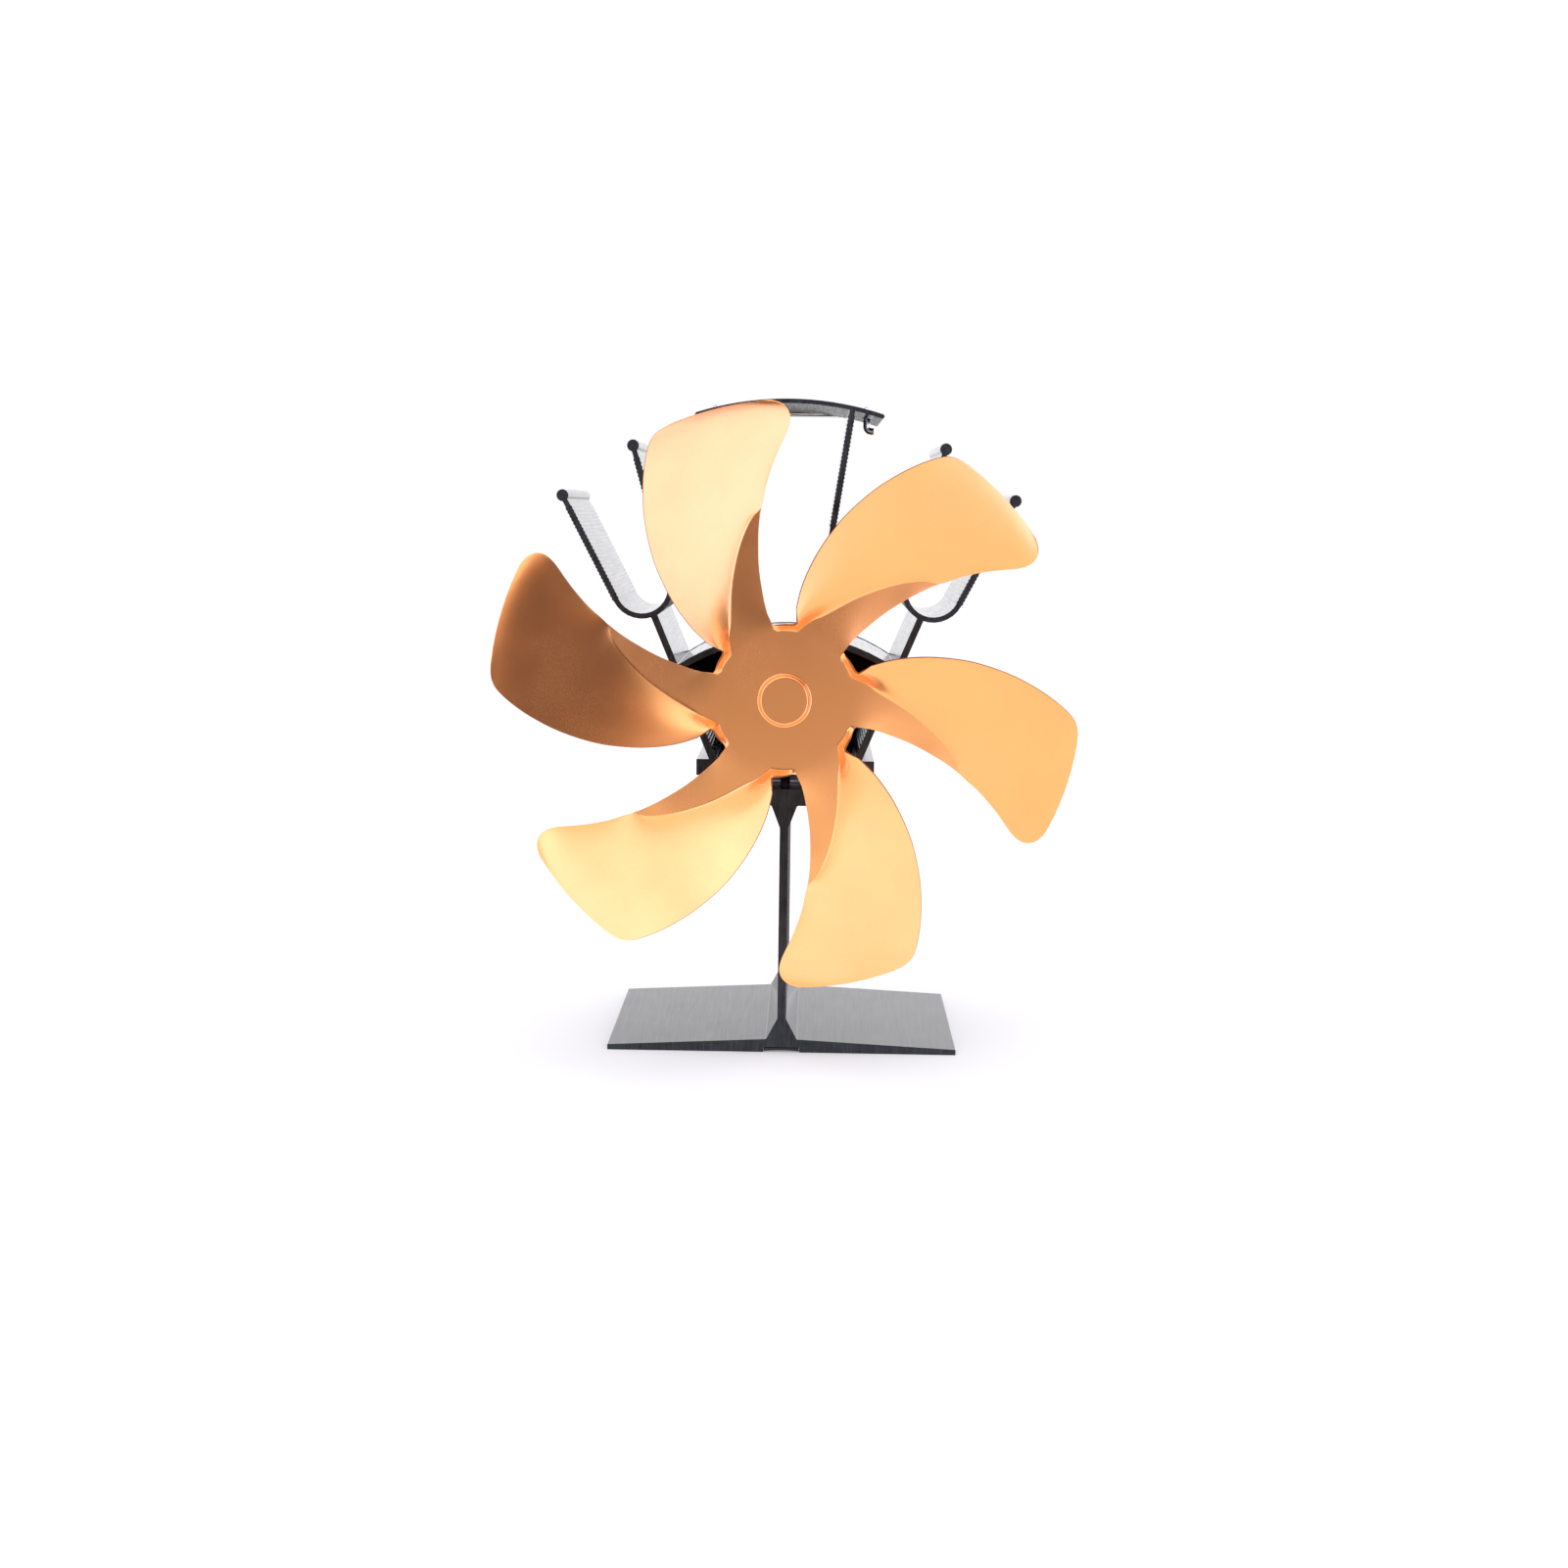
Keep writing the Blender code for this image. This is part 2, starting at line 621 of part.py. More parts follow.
def fork_parts():
    """Return the outlines of the right fork: its wall and its two round tips."""
    centre = Vector((FORK_SPACING / 2, BLOCK_TOP + FORK_RISE))
    outer = Vector((OUTER_TIP_SPACING / 2, BLOCK_TOP + OUTER_TIP_RISE))
    inner = Vector((INNER_TIP_SPACING / 2, BLOCK_TOP + INNER_TIP_RISE))
    first = tangent_angle(outer, centre, FORK_RADIUS, -1)
    last = tangent_angle(inner, centre, FORK_RADIUS, 1) - 360
    outer_foot = polar(first, FORK_RADIUS, centre)
    inner_foot = polar(last, FORK_RADIUS, centre)
    margin = TIP_RADIUS + TOOTH_MARGIN
    outer_neck = outer + (outer_foot - outer).normalized() * margin
    inner_neck = inner + (inner_foot - inner).normalized() * margin
    stations = join_stations(
        [(outer, 0.0)], run_stations(outer_neck, outer_foot, TOOTH_PITCH, TOOTH_DEPTH),
        arc_stations(centre, FORK_RADIUS, first, last, FORK_STEPS),
        run_stations(inner_foot, inner_neck, TOOTH_PITCH, TOOTH_DEPTH), [(inner, 0.0)])
    return [wall_outline(stations, FORK_WALL), circle(TIP_RADIUS, outer), circle(TIP_RADIUS, inner)]


def arm_line():
    """Return the right arm's foot and head on its centre line."""
    centre = Vector((FORK_SPACING / 2, BLOCK_TOP + FORK_RISE))
    foot = Vector((ARM_FOOT_SPACING / 2, BLOCK_TOP))
    return foot, polar(ARM_JOIN_ANGLE, FORK_RADIUS, centre)


def arm_outline():
    """Return the right arm's outline, with teeth inside the motor bay."""
    foot, head = arm_line()
    arch_end = meet_circle(foot, head, ARCH_CENTRE, ARCH_RADIUS - ARCH_THICKNESS)
    low = along_line(foot, head, BLOCK_TOP - OVERLAP)
    first = along_line(foot, head, BLOCK_TOP + ARM_TOOTH_MARGIN)
    last = along_line(foot, head, arch_end.y - ARM_TOOTH_MARGIN)
    stations = join_stations(
        [(low, 0.0)], run_stations(first, last, TOOTH_PITCH, TOOTH_DEPTH), [(head, 0.0)])
    return wall_outline(stations, ARM_THICKNESS, teeth=(1, 0))


def arch_outline():
    """Return the outline of the arch that spans the two arms."""
    foot, head = arm_line()
    radius = ARCH_RADIUS - ARCH_THICKNESS / 2
    end = meet_circle(foot, head, ARCH_CENTRE, radius)
    angle = math.degrees(math.atan2(end.y - ARCH_CENTRE, end.x))
    stations = arc_stations((0.0, ARCH_CENTRE), radius, angle, 180 - angle, ARCH_STEPS)
    return wall_outline(stations, ARCH_THICKNESS)


def fin_line():
    """Return the right fin's foot, knee and head on its centre line."""
    foot_x = FIN_SPACING / 2
    head_x = FIN_TOP_SPACING / 2
    foot = Vector((foot_x, height_on_circle(foot_x, ARCH_CENTRE, ARCH_RADIUS) - OVERLAP))
    knee = Vector((foot_x, BLOCK_TOP + FIN_KNEE_RISE))
    head_radius = PLATE_RADIUS - TOP_PLATE_THICKNESS
    head = Vector((head_x, height_on_circle(head_x, PLATE_CENTRE, head_radius) + OVERLAP))
    return foot, knee, head


def fin_outline():
    """Return the right fin's outline: smooth below its knee and toothed above."""
    foot, knee, head = fin_line()
    before = knee + (foot - knee).normalized() * FIN_KNEE_LENGTH
    after = knee + (head - knee).normalized() * FIN_KNEE_LENGTH
    last = head + (knee - head).normalized() * TOOTH_MARGIN
    stations = join_stations(
        [(foot, 0.0)], bend_stations(before, knee, after, KNEE_STEPS),
        run_stations(after, last, TOOTH_PITCH, TOOTH_DEPTH), [(head, 0.0)])
    return wall_outline(stations, FIN_WALL)


def side_arc_outline():
    """Return the outline of the arc that joins the right fin to the right fork."""
    centre = Vector((FORK_SPACING / 2, BLOCK_TOP + FORK_RISE))
    inner = Vector((INNER_TIP_SPACING / 2, BLOCK_TOP + INNER_TIP_RISE))
    inner_foot = polar(tangent_angle(inner, centre, FORK_RADIUS, 1), FORK_RADIUS, centre)
    start = Vector((FIN_SPACING / 2, BLOCK_TOP + SIDE_ARC_FIN_RISE))
    crown = Vector((SIDE_ARC_CROWN_SPACING / 2, BLOCK_TOP + SIDE_ARC_CROWN_RISE))
    end = along_line(inner_foot, inner, BLOCK_TOP + SIDE_ARC_TINE_RISE)
    middle, radius = circle_through(start, crown, end)
    first = math.degrees(math.atan2(start.y - middle.y, start.x - middle.x))
    last = math.degrees(math.atan2(end.y - middle.y, end.x - middle.x))
    return wall_outline(arc_stations(middle, radius, first, last, SIDE_ARC_STEPS), SIDE_ARC_THICKNESS)


def top_plate_outline():
    """Return the outline of the arched top plate."""
    radius = PLATE_RADIUS - TOP_PLATE_THICKNESS / 2
    reach = (TOP_PLATE_WIDTH - TOP_PLATE_THICKNESS) / 2
    angle = math.degrees(math.acos(reach / radius))
    stations = arc_stations((0.0, PLATE_CENTRE), radius, angle, 180 - angle, TOP_PLATE_STEPS)
    return wall_outline(stations, TOP_PLATE_THICKNESS, nose=True)


def port_outlines():
    """Return the outlines of the right screw port and the rib that holds it."""
    centre = Vector((PORT_SPACING / 2, PORT_HEIGHT))
    foot, head = arm_line()
    end = along_line(foot, head, PORT_HEIGHT)
    return [circle(PORT_RADIUS, centre), wall_outline(run_stations(centre, end), PORT_RIB_THICKNESS)]


def stadium(centre, width, length):
    """Return the outline of a slot with round ends, long in its second direction."""
    half = width / 2
    reach = length / 2 - half
    upper = [tuple(polar(angle, half, (centre[0], centre[1] + reach))) for angle in range(0, 181, 30)]
    lower = [tuple(polar(angle, half, (centre[0], centre[1] - reach))) for angle in range(180, 361, 30)]
    return upper + lower


def handle_pivot():
    """Return the height of the handle's joint: the middle of the top plate at its holes."""
    return height_on_circle(HANDLE_HOLE_SPACING / 2, PLATE_CENTRE, PLATE_RADIUS - TOP_PLATE_THICKNESS / 2)


def handle_slot_length():
    """Return the length of the handle's holes that its full swing needs."""
    swing = math.radians(HANDLE_SWING)
    reach = TOP_PLATE_THICKNESS * math.tan(swing) / 2 + HANDLE_WIRE_RADIUS / math.cos(swing)
    return 2 * (reach + 2 * CLEARANCE)


def sink_cutters(material):
    """Make the cutters for every hole of the heat sink."""
    tools = []
    above = BLOCK_TOP + OVERRUN
    below = BLOCK_BOTTOM - OVERRUN
    for y in clamp_screw_places():
        outline = circle(CLAMP_SCREW_RADIUS + CLEARANCE, (0.0, y))
        tools.append(prism("clamp_hole", outline, below, above, material, "top"))
    slot_centre = (-WIRE_SLOT_OFFSET, SINK_REAR - WIRE_SLOT_INSET - WIRE_SLOT_DEPTH / 6)
    slot = rectangle(WIRE_SLOT_WIDTH, WIRE_SLOT_DEPTH, slot_centre)
    tools.append(prism("wire_slot", slot, below, above, material, "top"))
    for side in (-1, 1):
        bracket_place = (side * BRACKET_SCREW_SPACING / 2, BRACKET_MIDDLE)
        outline = circle(SMALL_SCREW_RADIUS + CLEARANCE, bracket_place)
        tools.append(prism("bracket_hole", outline, below, above, material, "top"))
        port = circle(SMALL_SCREW_RADIUS + CLEARANCE, (side * PORT_SPACING / 2, PORT_HEIGHT))
        tools.append(prism("port_hole", port, SINK_FRONT - OVERRUN, SINK_REAR + OVERRUN, material))
        hole = stadium((side * HANDLE_HOLE_SPACING / 2, SINK_MIDDLE),
                       2 * (HANDLE_WIRE_RADIUS + CLEARANCE), handle_slot_length())
        tools.append(prism("handle_hole", hole, PLATE_TOP - TOP_PLATE_SAG - OVERRUN,
                           PLATE_TOP + OVERRUN, material, "top"))
    return tools


def make_heat_sink(material):
    """Make the heat sink extrusion: block, arms, forks, arch, fins and top plate."""
    block_centre = (0.0, (BLOCK_BOTTOM + BLOCK_TOP) / 2)
    block = rectangle(BLOCK_WIDTH, BLOCK_THICKNESS, block_centre)
    sink = prism("heat_sink", block, SINK_FRONT, SINK_REAR, material)
    halves = [arm_outline(), *fork_parts(), fin_outline(), side_arc_outline(), *port_outlines()]
    outlines = halves + [mirrored(outline) for outline in halves]
    outlines += [arch_outline(), top_plate_outline()]
    walls = [prism("wall", outline, SINK_FRONT, SINK_REAR, material) for outline in outlines]
    combine(sink, walls, "UNION")
    return combine(sink, sink_cutters(material), "DIFFERENCE")


def arc_slot(radius):
    """Return the outline of one curved vent slot of the rear cover."""
    centre = (0.0, BLOCK_TOP + VENT_CENTRE_RISE)
    stations = arc_stations(centre, radius, 90 - VENT_SLOT_ANGLE, 90 + VENT_SLOT_ANGLE, VENT_STEPS)
    return wall_outline(stations, VENT_SLOT_WIDTH, nose=True)


def drop_hole(spacing):
    """Return the outline of a drop-shaped vent on the right side of the rear cover."""
    wide = Vector((spacing[0] / 2, BLOCK_TOP + DROP_WIDE_RISE))
    narrow = Vector((spacing[1] / 2, BLOCK_TOP + DROP_NARROW_RISE))
    line = narrow - wide
    heading = math.degrees(math.atan2(line.y, line.x))
    spread = math.degrees(math.acos((DROP_WIDE_RADIUS - DROP_NARROW_RADIUS) / line.length))
    steps = NOSE_STEPS * 2
    upper = [tuple(polar(heading + spread + (360 - 2 * spread) * index / steps, DROP_WIDE_RADIUS, wide))
             for index in range(steps + 1)]
    lower = [tuple(polar(heading - spread + 2 * spread * index / NOSE_STEPS, DROP_NARROW_RADIUS, narrow))
             for index in range(NOSE_STEPS + 1)]
    return upper + lower


def cover_outline():
    """Return the outline of the rear cover."""
    bottom = FLANGE_TOP + COVER_FOOT_GAP
    neck = BLOCK_TOP - COVER_NECK_DROP
    shoulder = Vector((COVER_SHOULDER_WIDTH / 2, BLOCK_TOP + COVER_SHOULDER_RISE))
    radius = (shoulder.x ** 2 + COVER_ARC_RISE ** 2) / (2 * COVER_ARC_RISE)
    centre = (0.0, shoulder.y + COVER_ARC_RISE - radius)
    angle = math.degrees(math.asin(shoulder.x / radius))
    arc = [tuple(point) for point, _ in arc_stations(centre, radius, 90 - angle, 90 + angle, COVER_STEPS)]
    side = [(COVER_FOOT_WIDTH / 2, bottom), (COVER_FOOT_WIDTH / 2, neck), (COVER_NECK_WIDTH / 2, neck)]
    return side + arc + mirrored(side)


def make_cover(material):
    """Make the rear cover with its vents and screw holes."""
    cover = prism("rear_cover", cover_outline(), COVER_FRONT, COVER_REAR, material)
    outlines = [arc_slot(radius) for radius in VENT_SLOT_RADII]
    outlines.append(circle(VENT_HOLE_RADIUS, (0.0, BLOCK_TOP + VENT_CENTRE_RISE), SIDES))
    for spacing in (DROP_INNER_SPACING, DROP_OUTER_SPACING):
        outlines += [drop_hole(spacing), mirrored(drop_hole(spacing))]
    for side in (-1, 1):
        hole_place = (side * PORT_SPACING / 2, PORT_HEIGHT)
        outlines.append(circle(SMALL_SCREW_RADIUS + CLEARANCE, hole_place))
    tools = [prism("vent", outline, COVER_FRONT - OVERRUN, COVER_REAR + OVERRUN, material)
             for outline in outlines]
    return combine(cover, tools, "DIFFERENCE")


def make_screw(name, seat, axis, radius, length, head, material, thread=None):
    """Make a cross-recessed screw whose head rises from its seat along +Y or +Z."""
    head_radius, head_height = head
    profile = [(head_radius * wide, head_height * high) for wide, high in HEAD_CROWN_SHARES]
    shank = [(0.0, -length), (radius, -length)]
    if thread:
        start, end = thread
        count = round((end - start) / CLAMP_THREAD_PITCH)
        pitch = (end - start) / count
        for index in range(count):
            shank += [(radius, start + pitch * index),
                      (radius - CLAMP_THREAD_DEPTH, start + pitch * (index + 0.5))]
        shank.append((radius, end))
    shank.append((radius, 0.0))
    screw = turned(name, shank + profile, seat, material, axis, SMALL_SIDES)
    tools = []
    for width, height in ((CROSS_WIDTH, CROSS_LENGTH), (CROSS_LENGTH, CROSS_WIDTH)):
        bottom = head_height - CROSS_DEPTH
        top = head_height + OVERRUN
        if axis == "Y":
            outline = rectangle(width, height, (seat[0], seat[2]))
            tools.append(prism("cross", outline, seat[1] + bottom, seat[1] + top, material))
        else:
            outline = rectangle(width, height, (seat[0], seat[1]))
            tools.append(prism("cross", outline, seat[2] + bottom, seat[2] + top, material, "top"))
    return combine(screw, tools, "DIFFERENCE")


def make_cover_screws(material):
    """Make the two screws that hold the rear cover in the heat sink's ports."""
    for name, side in (("cover_screw_left", -1), ("cover_screw_right", 1)):
        seat = (side * PORT_SPACING / 2, COVER_REAR + CLEARANCE, PORT_HEIGHT)
        make_screw(name, seat, "Y", SMALL_SCREW_RADIUS, COVER_SCREW_LENGTH,
                   (SMALL_HEAD_RADIUS, SMALL_HEAD_HEIGHT), material)


def make_clamp_screws(screw_material, washer_material):
    """Make the two screws that clamp the heat sink and the module to the base."""
    seat_height = BLOCK_TOP + 2 * CLEARANCE + WASHER_THICKNESS
    length = seat_height - FLANGE_TOP + CLAMP_SCREW_DEPTH
    thread = (FLANGE_TOP - seat_height, BLOCK_BOTTOM - seat_height)
    for name, y in zip(("front", "rear"), clamp_screw_places()):
        make_screw(f"clamp_screw_{name}", (0.0, y, seat_height), "Z", CLAMP_SCREW_RADIUS, length,
                   (CLAMP_HEAD_RADIUS, CLAMP_HEAD_HEIGHT), screw_material, thread)
        profile = ring_profile(CLAMP_SCREW_RADIUS + CLEARANCE, WASHER_RADIUS, 0.0, WASHER_THICKNESS)
        turned(f"clamp_washer_{name}", profile, (0.0, y, BLOCK_TOP + CLEARANCE), washer_material,
               "Z", SMALL_SIDES)


def make_bracket(material):
    """Make the bracket that carries the motor: a ring on two legs with feet."""
    centre = Vector((0.0, AXIS_HEIGHT))
    inner = MOTOR_RADIUS + CLEARANCE
    outer = inner + BRACKET_THICKNESS
    rear = BRACKET_FRONT + BRACKET_DEPTH
    bracket = prism("motor_bracket", circle(outer, centre, SIDES), BRACKET_FRONT, rear, material)
    foot_height = BLOCK_TOP + CLEARANCE + BRACKET_THICKNESS / 2
    leg_x = BRACKET_LEG_SPACING / 2
    leg_top = centre.y - math.sqrt((inner + BRACKET_THICKNESS / 2) ** 2 - leg_x ** 2)
    stations = [(Vector((BRACKET_FOOT_WIDTH / 2, foot_height)), 0.0),
                (Vector((leg_x, foot_height)), 0.0), (Vector((leg_x, leg_top)), 0.0)]
    leg = wall_outline(stations, BRACKET_THICKNESS)
    legs = [prism("leg", outline, BRACKET_FRONT, rear, material) for outline in (leg, mirrored(leg))]
    combine(bracket, legs, "UNION")
    bore = circle(inner, centre, SIDES)
    tools = [prism("bore", bore, BRACKET_FRONT - OVERRUN, rear + OVERRUN, material)]
    for side in (-1, 1):
        outline = circle(SMALL_SCREW_RADIUS + CLEARANCE, (side * BRACKET_SCREW_SPACING / 2, BRACKET_MIDDLE))
        tools.append(prism("foot_hole", outline, BLOCK_TOP - OVERRUN,
                           BLOCK_TOP + BRACKET_THICKNESS + OVERRUN, material, "top"))
    return combine(bracket, tools, "DIFFERENCE")


def make_bracket_screws(material):
    """Make the two screws that hold the bracket's feet to the block."""
    seat_height = BLOCK_TOP + 2 * CLEARANCE + BRACKET_THICKNESS
    for name, side in (("bracket_screw_left", -1), ("bracket_screw_right", 1)):
        seat = (side * BRACKET_SCREW_SPACING / 2, BRACKET_MIDDLE, seat_height)
        make_screw(name, seat, "Z", SMALL_SCREW_RADIUS, BRACKET_SCREW_LENGTH,
                   (BRACKET_HEAD_RADIUS, SMALL_HEAD_HEIGHT), material)


def make_motor_shell(steel, plastic, bronze):
    """Make the motor's can, its end cap and the two bearings."""
    centre = (0.0, 0.0, AXIS_HEIGHT)
    seat = BEARING_RADIUS + CLEARANCE
    inside = MOTOR_RADIUS - MOTOR_WALL
    turned("motor_can", [
        (seat, MOTOR_FRONT - MOTOR_BOSS_LENGTH), (MOTOR_BOSS_RADIUS, MOTOR_FRONT - MOTOR_BOSS_LENGTH),
        (MOTOR_BOSS_RADIUS, MOTOR_FRONT), (MOTOR_RADIUS, MOTOR_FRONT), (MOTOR_RADIUS, MOTOR_REAR),
        (inside, MOTOR_REAR), (inside, MOTOR_FRONT + MOTOR_WALL),
        (seat, MOTOR_FRONT + MOTOR_WALL)], centre, steel)
    cap = turned("motor_end_cap", [
        (seat, CAP_FRONT), (inside - CLEARANCE, CAP_FRONT),
        (inside - CLEARANCE, MOTOR_REAR + CLEARANCE), (MOTOR_RADIUS, MOTOR_REAR + CLEARANCE),
        (MOTOR_RADIUS, CAP_REAR), (seat, CAP_REAR)], centre, plastic)
    tools = []
    for side in (-1, 1):
        slot = rectangle(TERMINAL_THICKNESS + 2 * CLEARANCE, TERMINAL_WIDTH + 2 * CLEARANCE,
                         (side * TERMINAL_SPACING / 2, AXIS_HEIGHT))
        tools.append(prism("slot", slot, CAP_FRONT - OVERRUN, CAP_REAR + OVERRUN, plastic))
    combine(cap, tools, "DIFFERENCE")
    front = MOTOR_FRONT - MOTOR_BOSS_LENGTH
    rear = CAP_REAR - BEARING_LENGTH
    for name, start in (("bearing_front", front), ("bearing_rear", rear)):
        profile = ring_profile(BORE_CLEARANCE, BEARING_RADIUS, start, start + BEARING_LENGTH)
        turned(name, profile, centre, bronze, steps=SMALL_SIDES)


def make_magnets(material):
    """Make the two curved magnets inside the can."""
    radius = (MAGNET_INNER + MAGNET_OUTER) / 2
    start = MOTOR_FRONT + MAGNET_INSET
    for name, middle in (("magnet_upper", 90), ("magnet_lower", 270)):
        stations = arc_stations((0.0, AXIS_HEIGHT), radius, middle - MAGNET_HALF_ANGLE,
                                middle + MAGNET_HALF_ANGLE, MAGNET_STEPS)
        prism(name, wall_outline(stations, MAGNET_THICKNESS), start, start + MAGNET_LENGTH, material)


def pole_outlines(core_gap):
    """Return the outlines of the armature's hub, necks and shoes, grown by a gap."""
    centre = (0.0, AXIS_HEIGHT)
    outlines = [circle(CORE_HUB_RADIUS + core_gap, centre)]
    shoe_radius = CORE_RADIUS - POLE_SHOE_THICKNESS / 2
    for index in range(POLE_COUNT):
        angle = 90 + 360 * index / POLE_COUNT
        neck = run_stations(Vector(centre), polar(angle, shoe_radius, centre))
        outlines.append(wall_outline(neck, POLE_NECK_WIDTH + 2 * core_gap))
        shoe = arc_stations(centre, shoe_radius, angle - POLE_HALF_ANGLE, angle + POLE_HALF_ANGLE,
                            POLE_STEPS)
        outlines.append(wall_outline(shoe, POLE_SHOE_THICKNESS + 2 * core_gap))
    return outlines


def make_armature(core_material, winding_material, copper):
    """Make the armature's laminated core, its winding and the commutator."""
    outlines = pole_outlines(0.0)
    core = prism("armature_core", outlines[0], CORE_FRONT, CORE_REAR, core_material)
    parts = [prism("pole", outline, CORE_FRONT, CORE_REAR, core_material) for outline in outlines[1:]]
    combine(core, parts, "UNION")
    centre = (0.0, AXIS_HEIGHT)
    bore = prism("bore", circle(SHAFT_RADIUS + CLEARANCE, centre), CORE_FRONT - OVERRUN,
                 CORE_REAR + OVERRUN, core_material)
    combine(core, [bore], "DIFFERENCE")
    coil_radius = CORE_RADIUS - POLE_SHOE_THICKNESS - WINDING_RADIUS_MARGIN
    rear = CORE_REAR + WINDING_OVERHANG
    profile = ring_profile(CORE_HUB_RADIUS + CLEARANCE, coil_radius, CORE_FRONT, rear)
    winding = turned("armature_winding", profile, (0.0, 0.0, AXIS_HEIGHT), winding_material)
    tools = [prism("gap", outline, CORE_FRONT - OVERRUN, CORE_REAR + CLEARANCE, winding_material)
             for outline in pole_outlines(CLEARANCE)[1::2]]
    combine(winding, tools, "DIFFERENCE")
    profile = ring_profile(SHAFT_RADIUS + CLEARANCE, COMMUTATOR_RADIUS, COMMUTATOR_FRONT,
                           COMMUTATOR_FRONT + COMMUTATOR_LENGTH)
    turned("commutator", profile, (0.0, 0.0, AXIS_HEIGHT), copper, steps=SMALL_SIDES)


def make_shaft(material):
    """Make the motor shaft, from inside the rotor's boss to behind the rear bearing."""
    start = HUB_FRONT - BOSS_HEIGHT + SHEET_THICKNESS + CLEARANCE
    end = CAP_REAR + SHAFT_TAIL
    profile = [(0.0, start), (SHAFT_RADIUS, start), (SHAFT_RADIUS, end), (0.0, end)]
    turned("motor_shaft", profile, (0.0, 0.0, AXIS_HEIGHT), material, steps=SMALL_SIDES)


def make_contacts(brush_material, metal):
    """Make the brushes on the commutator and the terminals through the end cap."""
    brush_start = COMMUTATOR_FRONT + (COMMUTATOR_LENGTH - BRUSH_BLOCK_LENGTH) / 2
    brush_end = brush_start + BRUSH_BLOCK_LENGTH
    inner = COMMUTATOR_RADIUS + CLEARANCE
    outer = TERMINAL_SPACING / 2 - TERMINAL_THICKNESS / 2 - CLEARANCE
    tail = CAP_REAR + TERMINAL_TAIL
    for name, side in (("left", -1), ("right", 1)):
        middle = side * (inner + outer) / 2
        outline = rectangle(outer - inner, BRUSH_WIDTH, (middle, AXIS_HEIGHT))
        prism(f"brush_{name}", outline, brush_start, brush_end, brush_material)
        tab = rectangle(TERMINAL_THICKNESS, TERMINAL_WIDTH, (side * TERMINAL_SPACING / 2, AXIS_HEIGHT))
        prism(f"terminal_{name}", tab, brush_start, tail, metal)


def spread_rows(rows, steps):
    """Add points between the rows of a table along a smooth curve through them."""
    table = [Vector(row) for row in rows]
    result = []
    for index in range(len(table) - 1):
        p1 = table[index]
        p2 = table[index + 1]
        p0 = table[index - 1] if index else 2 * p1 - p2
        p3 = table[index + 2] if index + 2 < len(table) else 2 * p2 - p1
        for step in range(steps):
            t = step / steps
            result.append(((2 * p1) + (p2 - p0) * t + (2 * p0 - 5 * p1 + 4 * p2 - p3) * t * t
                           + (3 * p1 - p0 - 3 * p2 + p3) * t ** 3) / 2)
    result.append(table[-1])
    return result


def blade_point(angle, share, rise):
    """Return a point of the blade sheet from its angle, radius share and rise."""
    x, z = polar(90 + angle, ROTOR_RADIUS * share)
    return Vector((x, HUB_FRONT - rise, AXIS_HEIGHT + z))


def mix_points(first, last, share):
    """Return an (angle, radius share, rise) row part of the way between two rows."""
    return tuple(first[index] + (last[index] - first[index]) * share for index in range(3))


def claw_line(table):
    """Return a claw's crease or edge, sinking towards the claw's point."""
    last = len(table) - 1
    rows = [(angle, share, -CLAW_DROP * (index / last) ** 2)
            for index, (angle, share) in enumerate(table)]
    return spread_rows(rows, ROW_STEPS)


def trail_line():
    """Return a blade's trailing edge from the claw's point to the tip."""
    last = len(TRAIL_SHARES) - 1
    rows = [(angle, share, -CLAW_DROP - (TRAIL_TIP_DROP - CLAW_DROP) * index / last)
            for index, (angle, share) in enumerate(TRAIL_SHARES)]
    return spread_rows(rows, ROW_STEPS)


def blade_rows():
    """Return the rows of one blade beyond its crease, as (angle, radius share, rise)."""
    lead = [(angle, share, LEAD_RISE * rise)
            for (angle, share), rise in zip(LEAD_SHARES, LEAD_RISE_SHARES)]
    starts = claw_line(CREASE_SHARES)[:-1] + trail_line()
    cells = len(BEND_SHARES) - 1
    rows = []
    for first, last in zip(starts, spread_rows(lead, ROW_STEPS)):
        row = []
        for column, bend in enumerate(BEND_SHARES):
            angle, share, _ = mix_points(first, last, column / cells)
            row.append((angle, share, first[2] + (last[2] - first[2]) * bend))
        rows.append(row)
    return rows


def claw_rows():
    """Return the rows of one claw, from its crease to its free edge."""
    lines = zip(claw_line(CREASE_SHARES), claw_line(CLAW_EDGE_SHARES))
    return [[mix_points(first, last, column / CLAW_STEPS) for column in range(CLAW_STEPS + 1)]
            for first, last in lines]


def notch_rows(root, edge):
    """Return the rows of the slanted lip between a blade's root and the next claw's edge."""
    rows = []
    for near, (angle, share, rise) in list(zip(root, edge))[:NOTCH_ROW_STEPS + 1]:
        far = (angle + 360 / BLADE_COUNT, share, rise)
        mixed = [mix_points(near, far, column / NOTCH_STEPS) for column in range(NOTCH_STEPS)]
        rows.append([(angle, near[1], rise) for angle, _, rise in mixed] + [far])
    return rows


def add_grid(shape, rows, turn):
    """Add a grid of faces between rows of blade points, turned round the rotor's axis."""
    grid = [[shape.verts.new(blade_point(angle + turn, share, rise)) for angle, share, rise in row]
            for row in rows]
    for lower, upper in zip(grid, grid[1:]):
        for column in range(len(lower) - 1):
            shape.faces.new((lower[column], lower[column + 1], upper[column + 1], upper[column]))


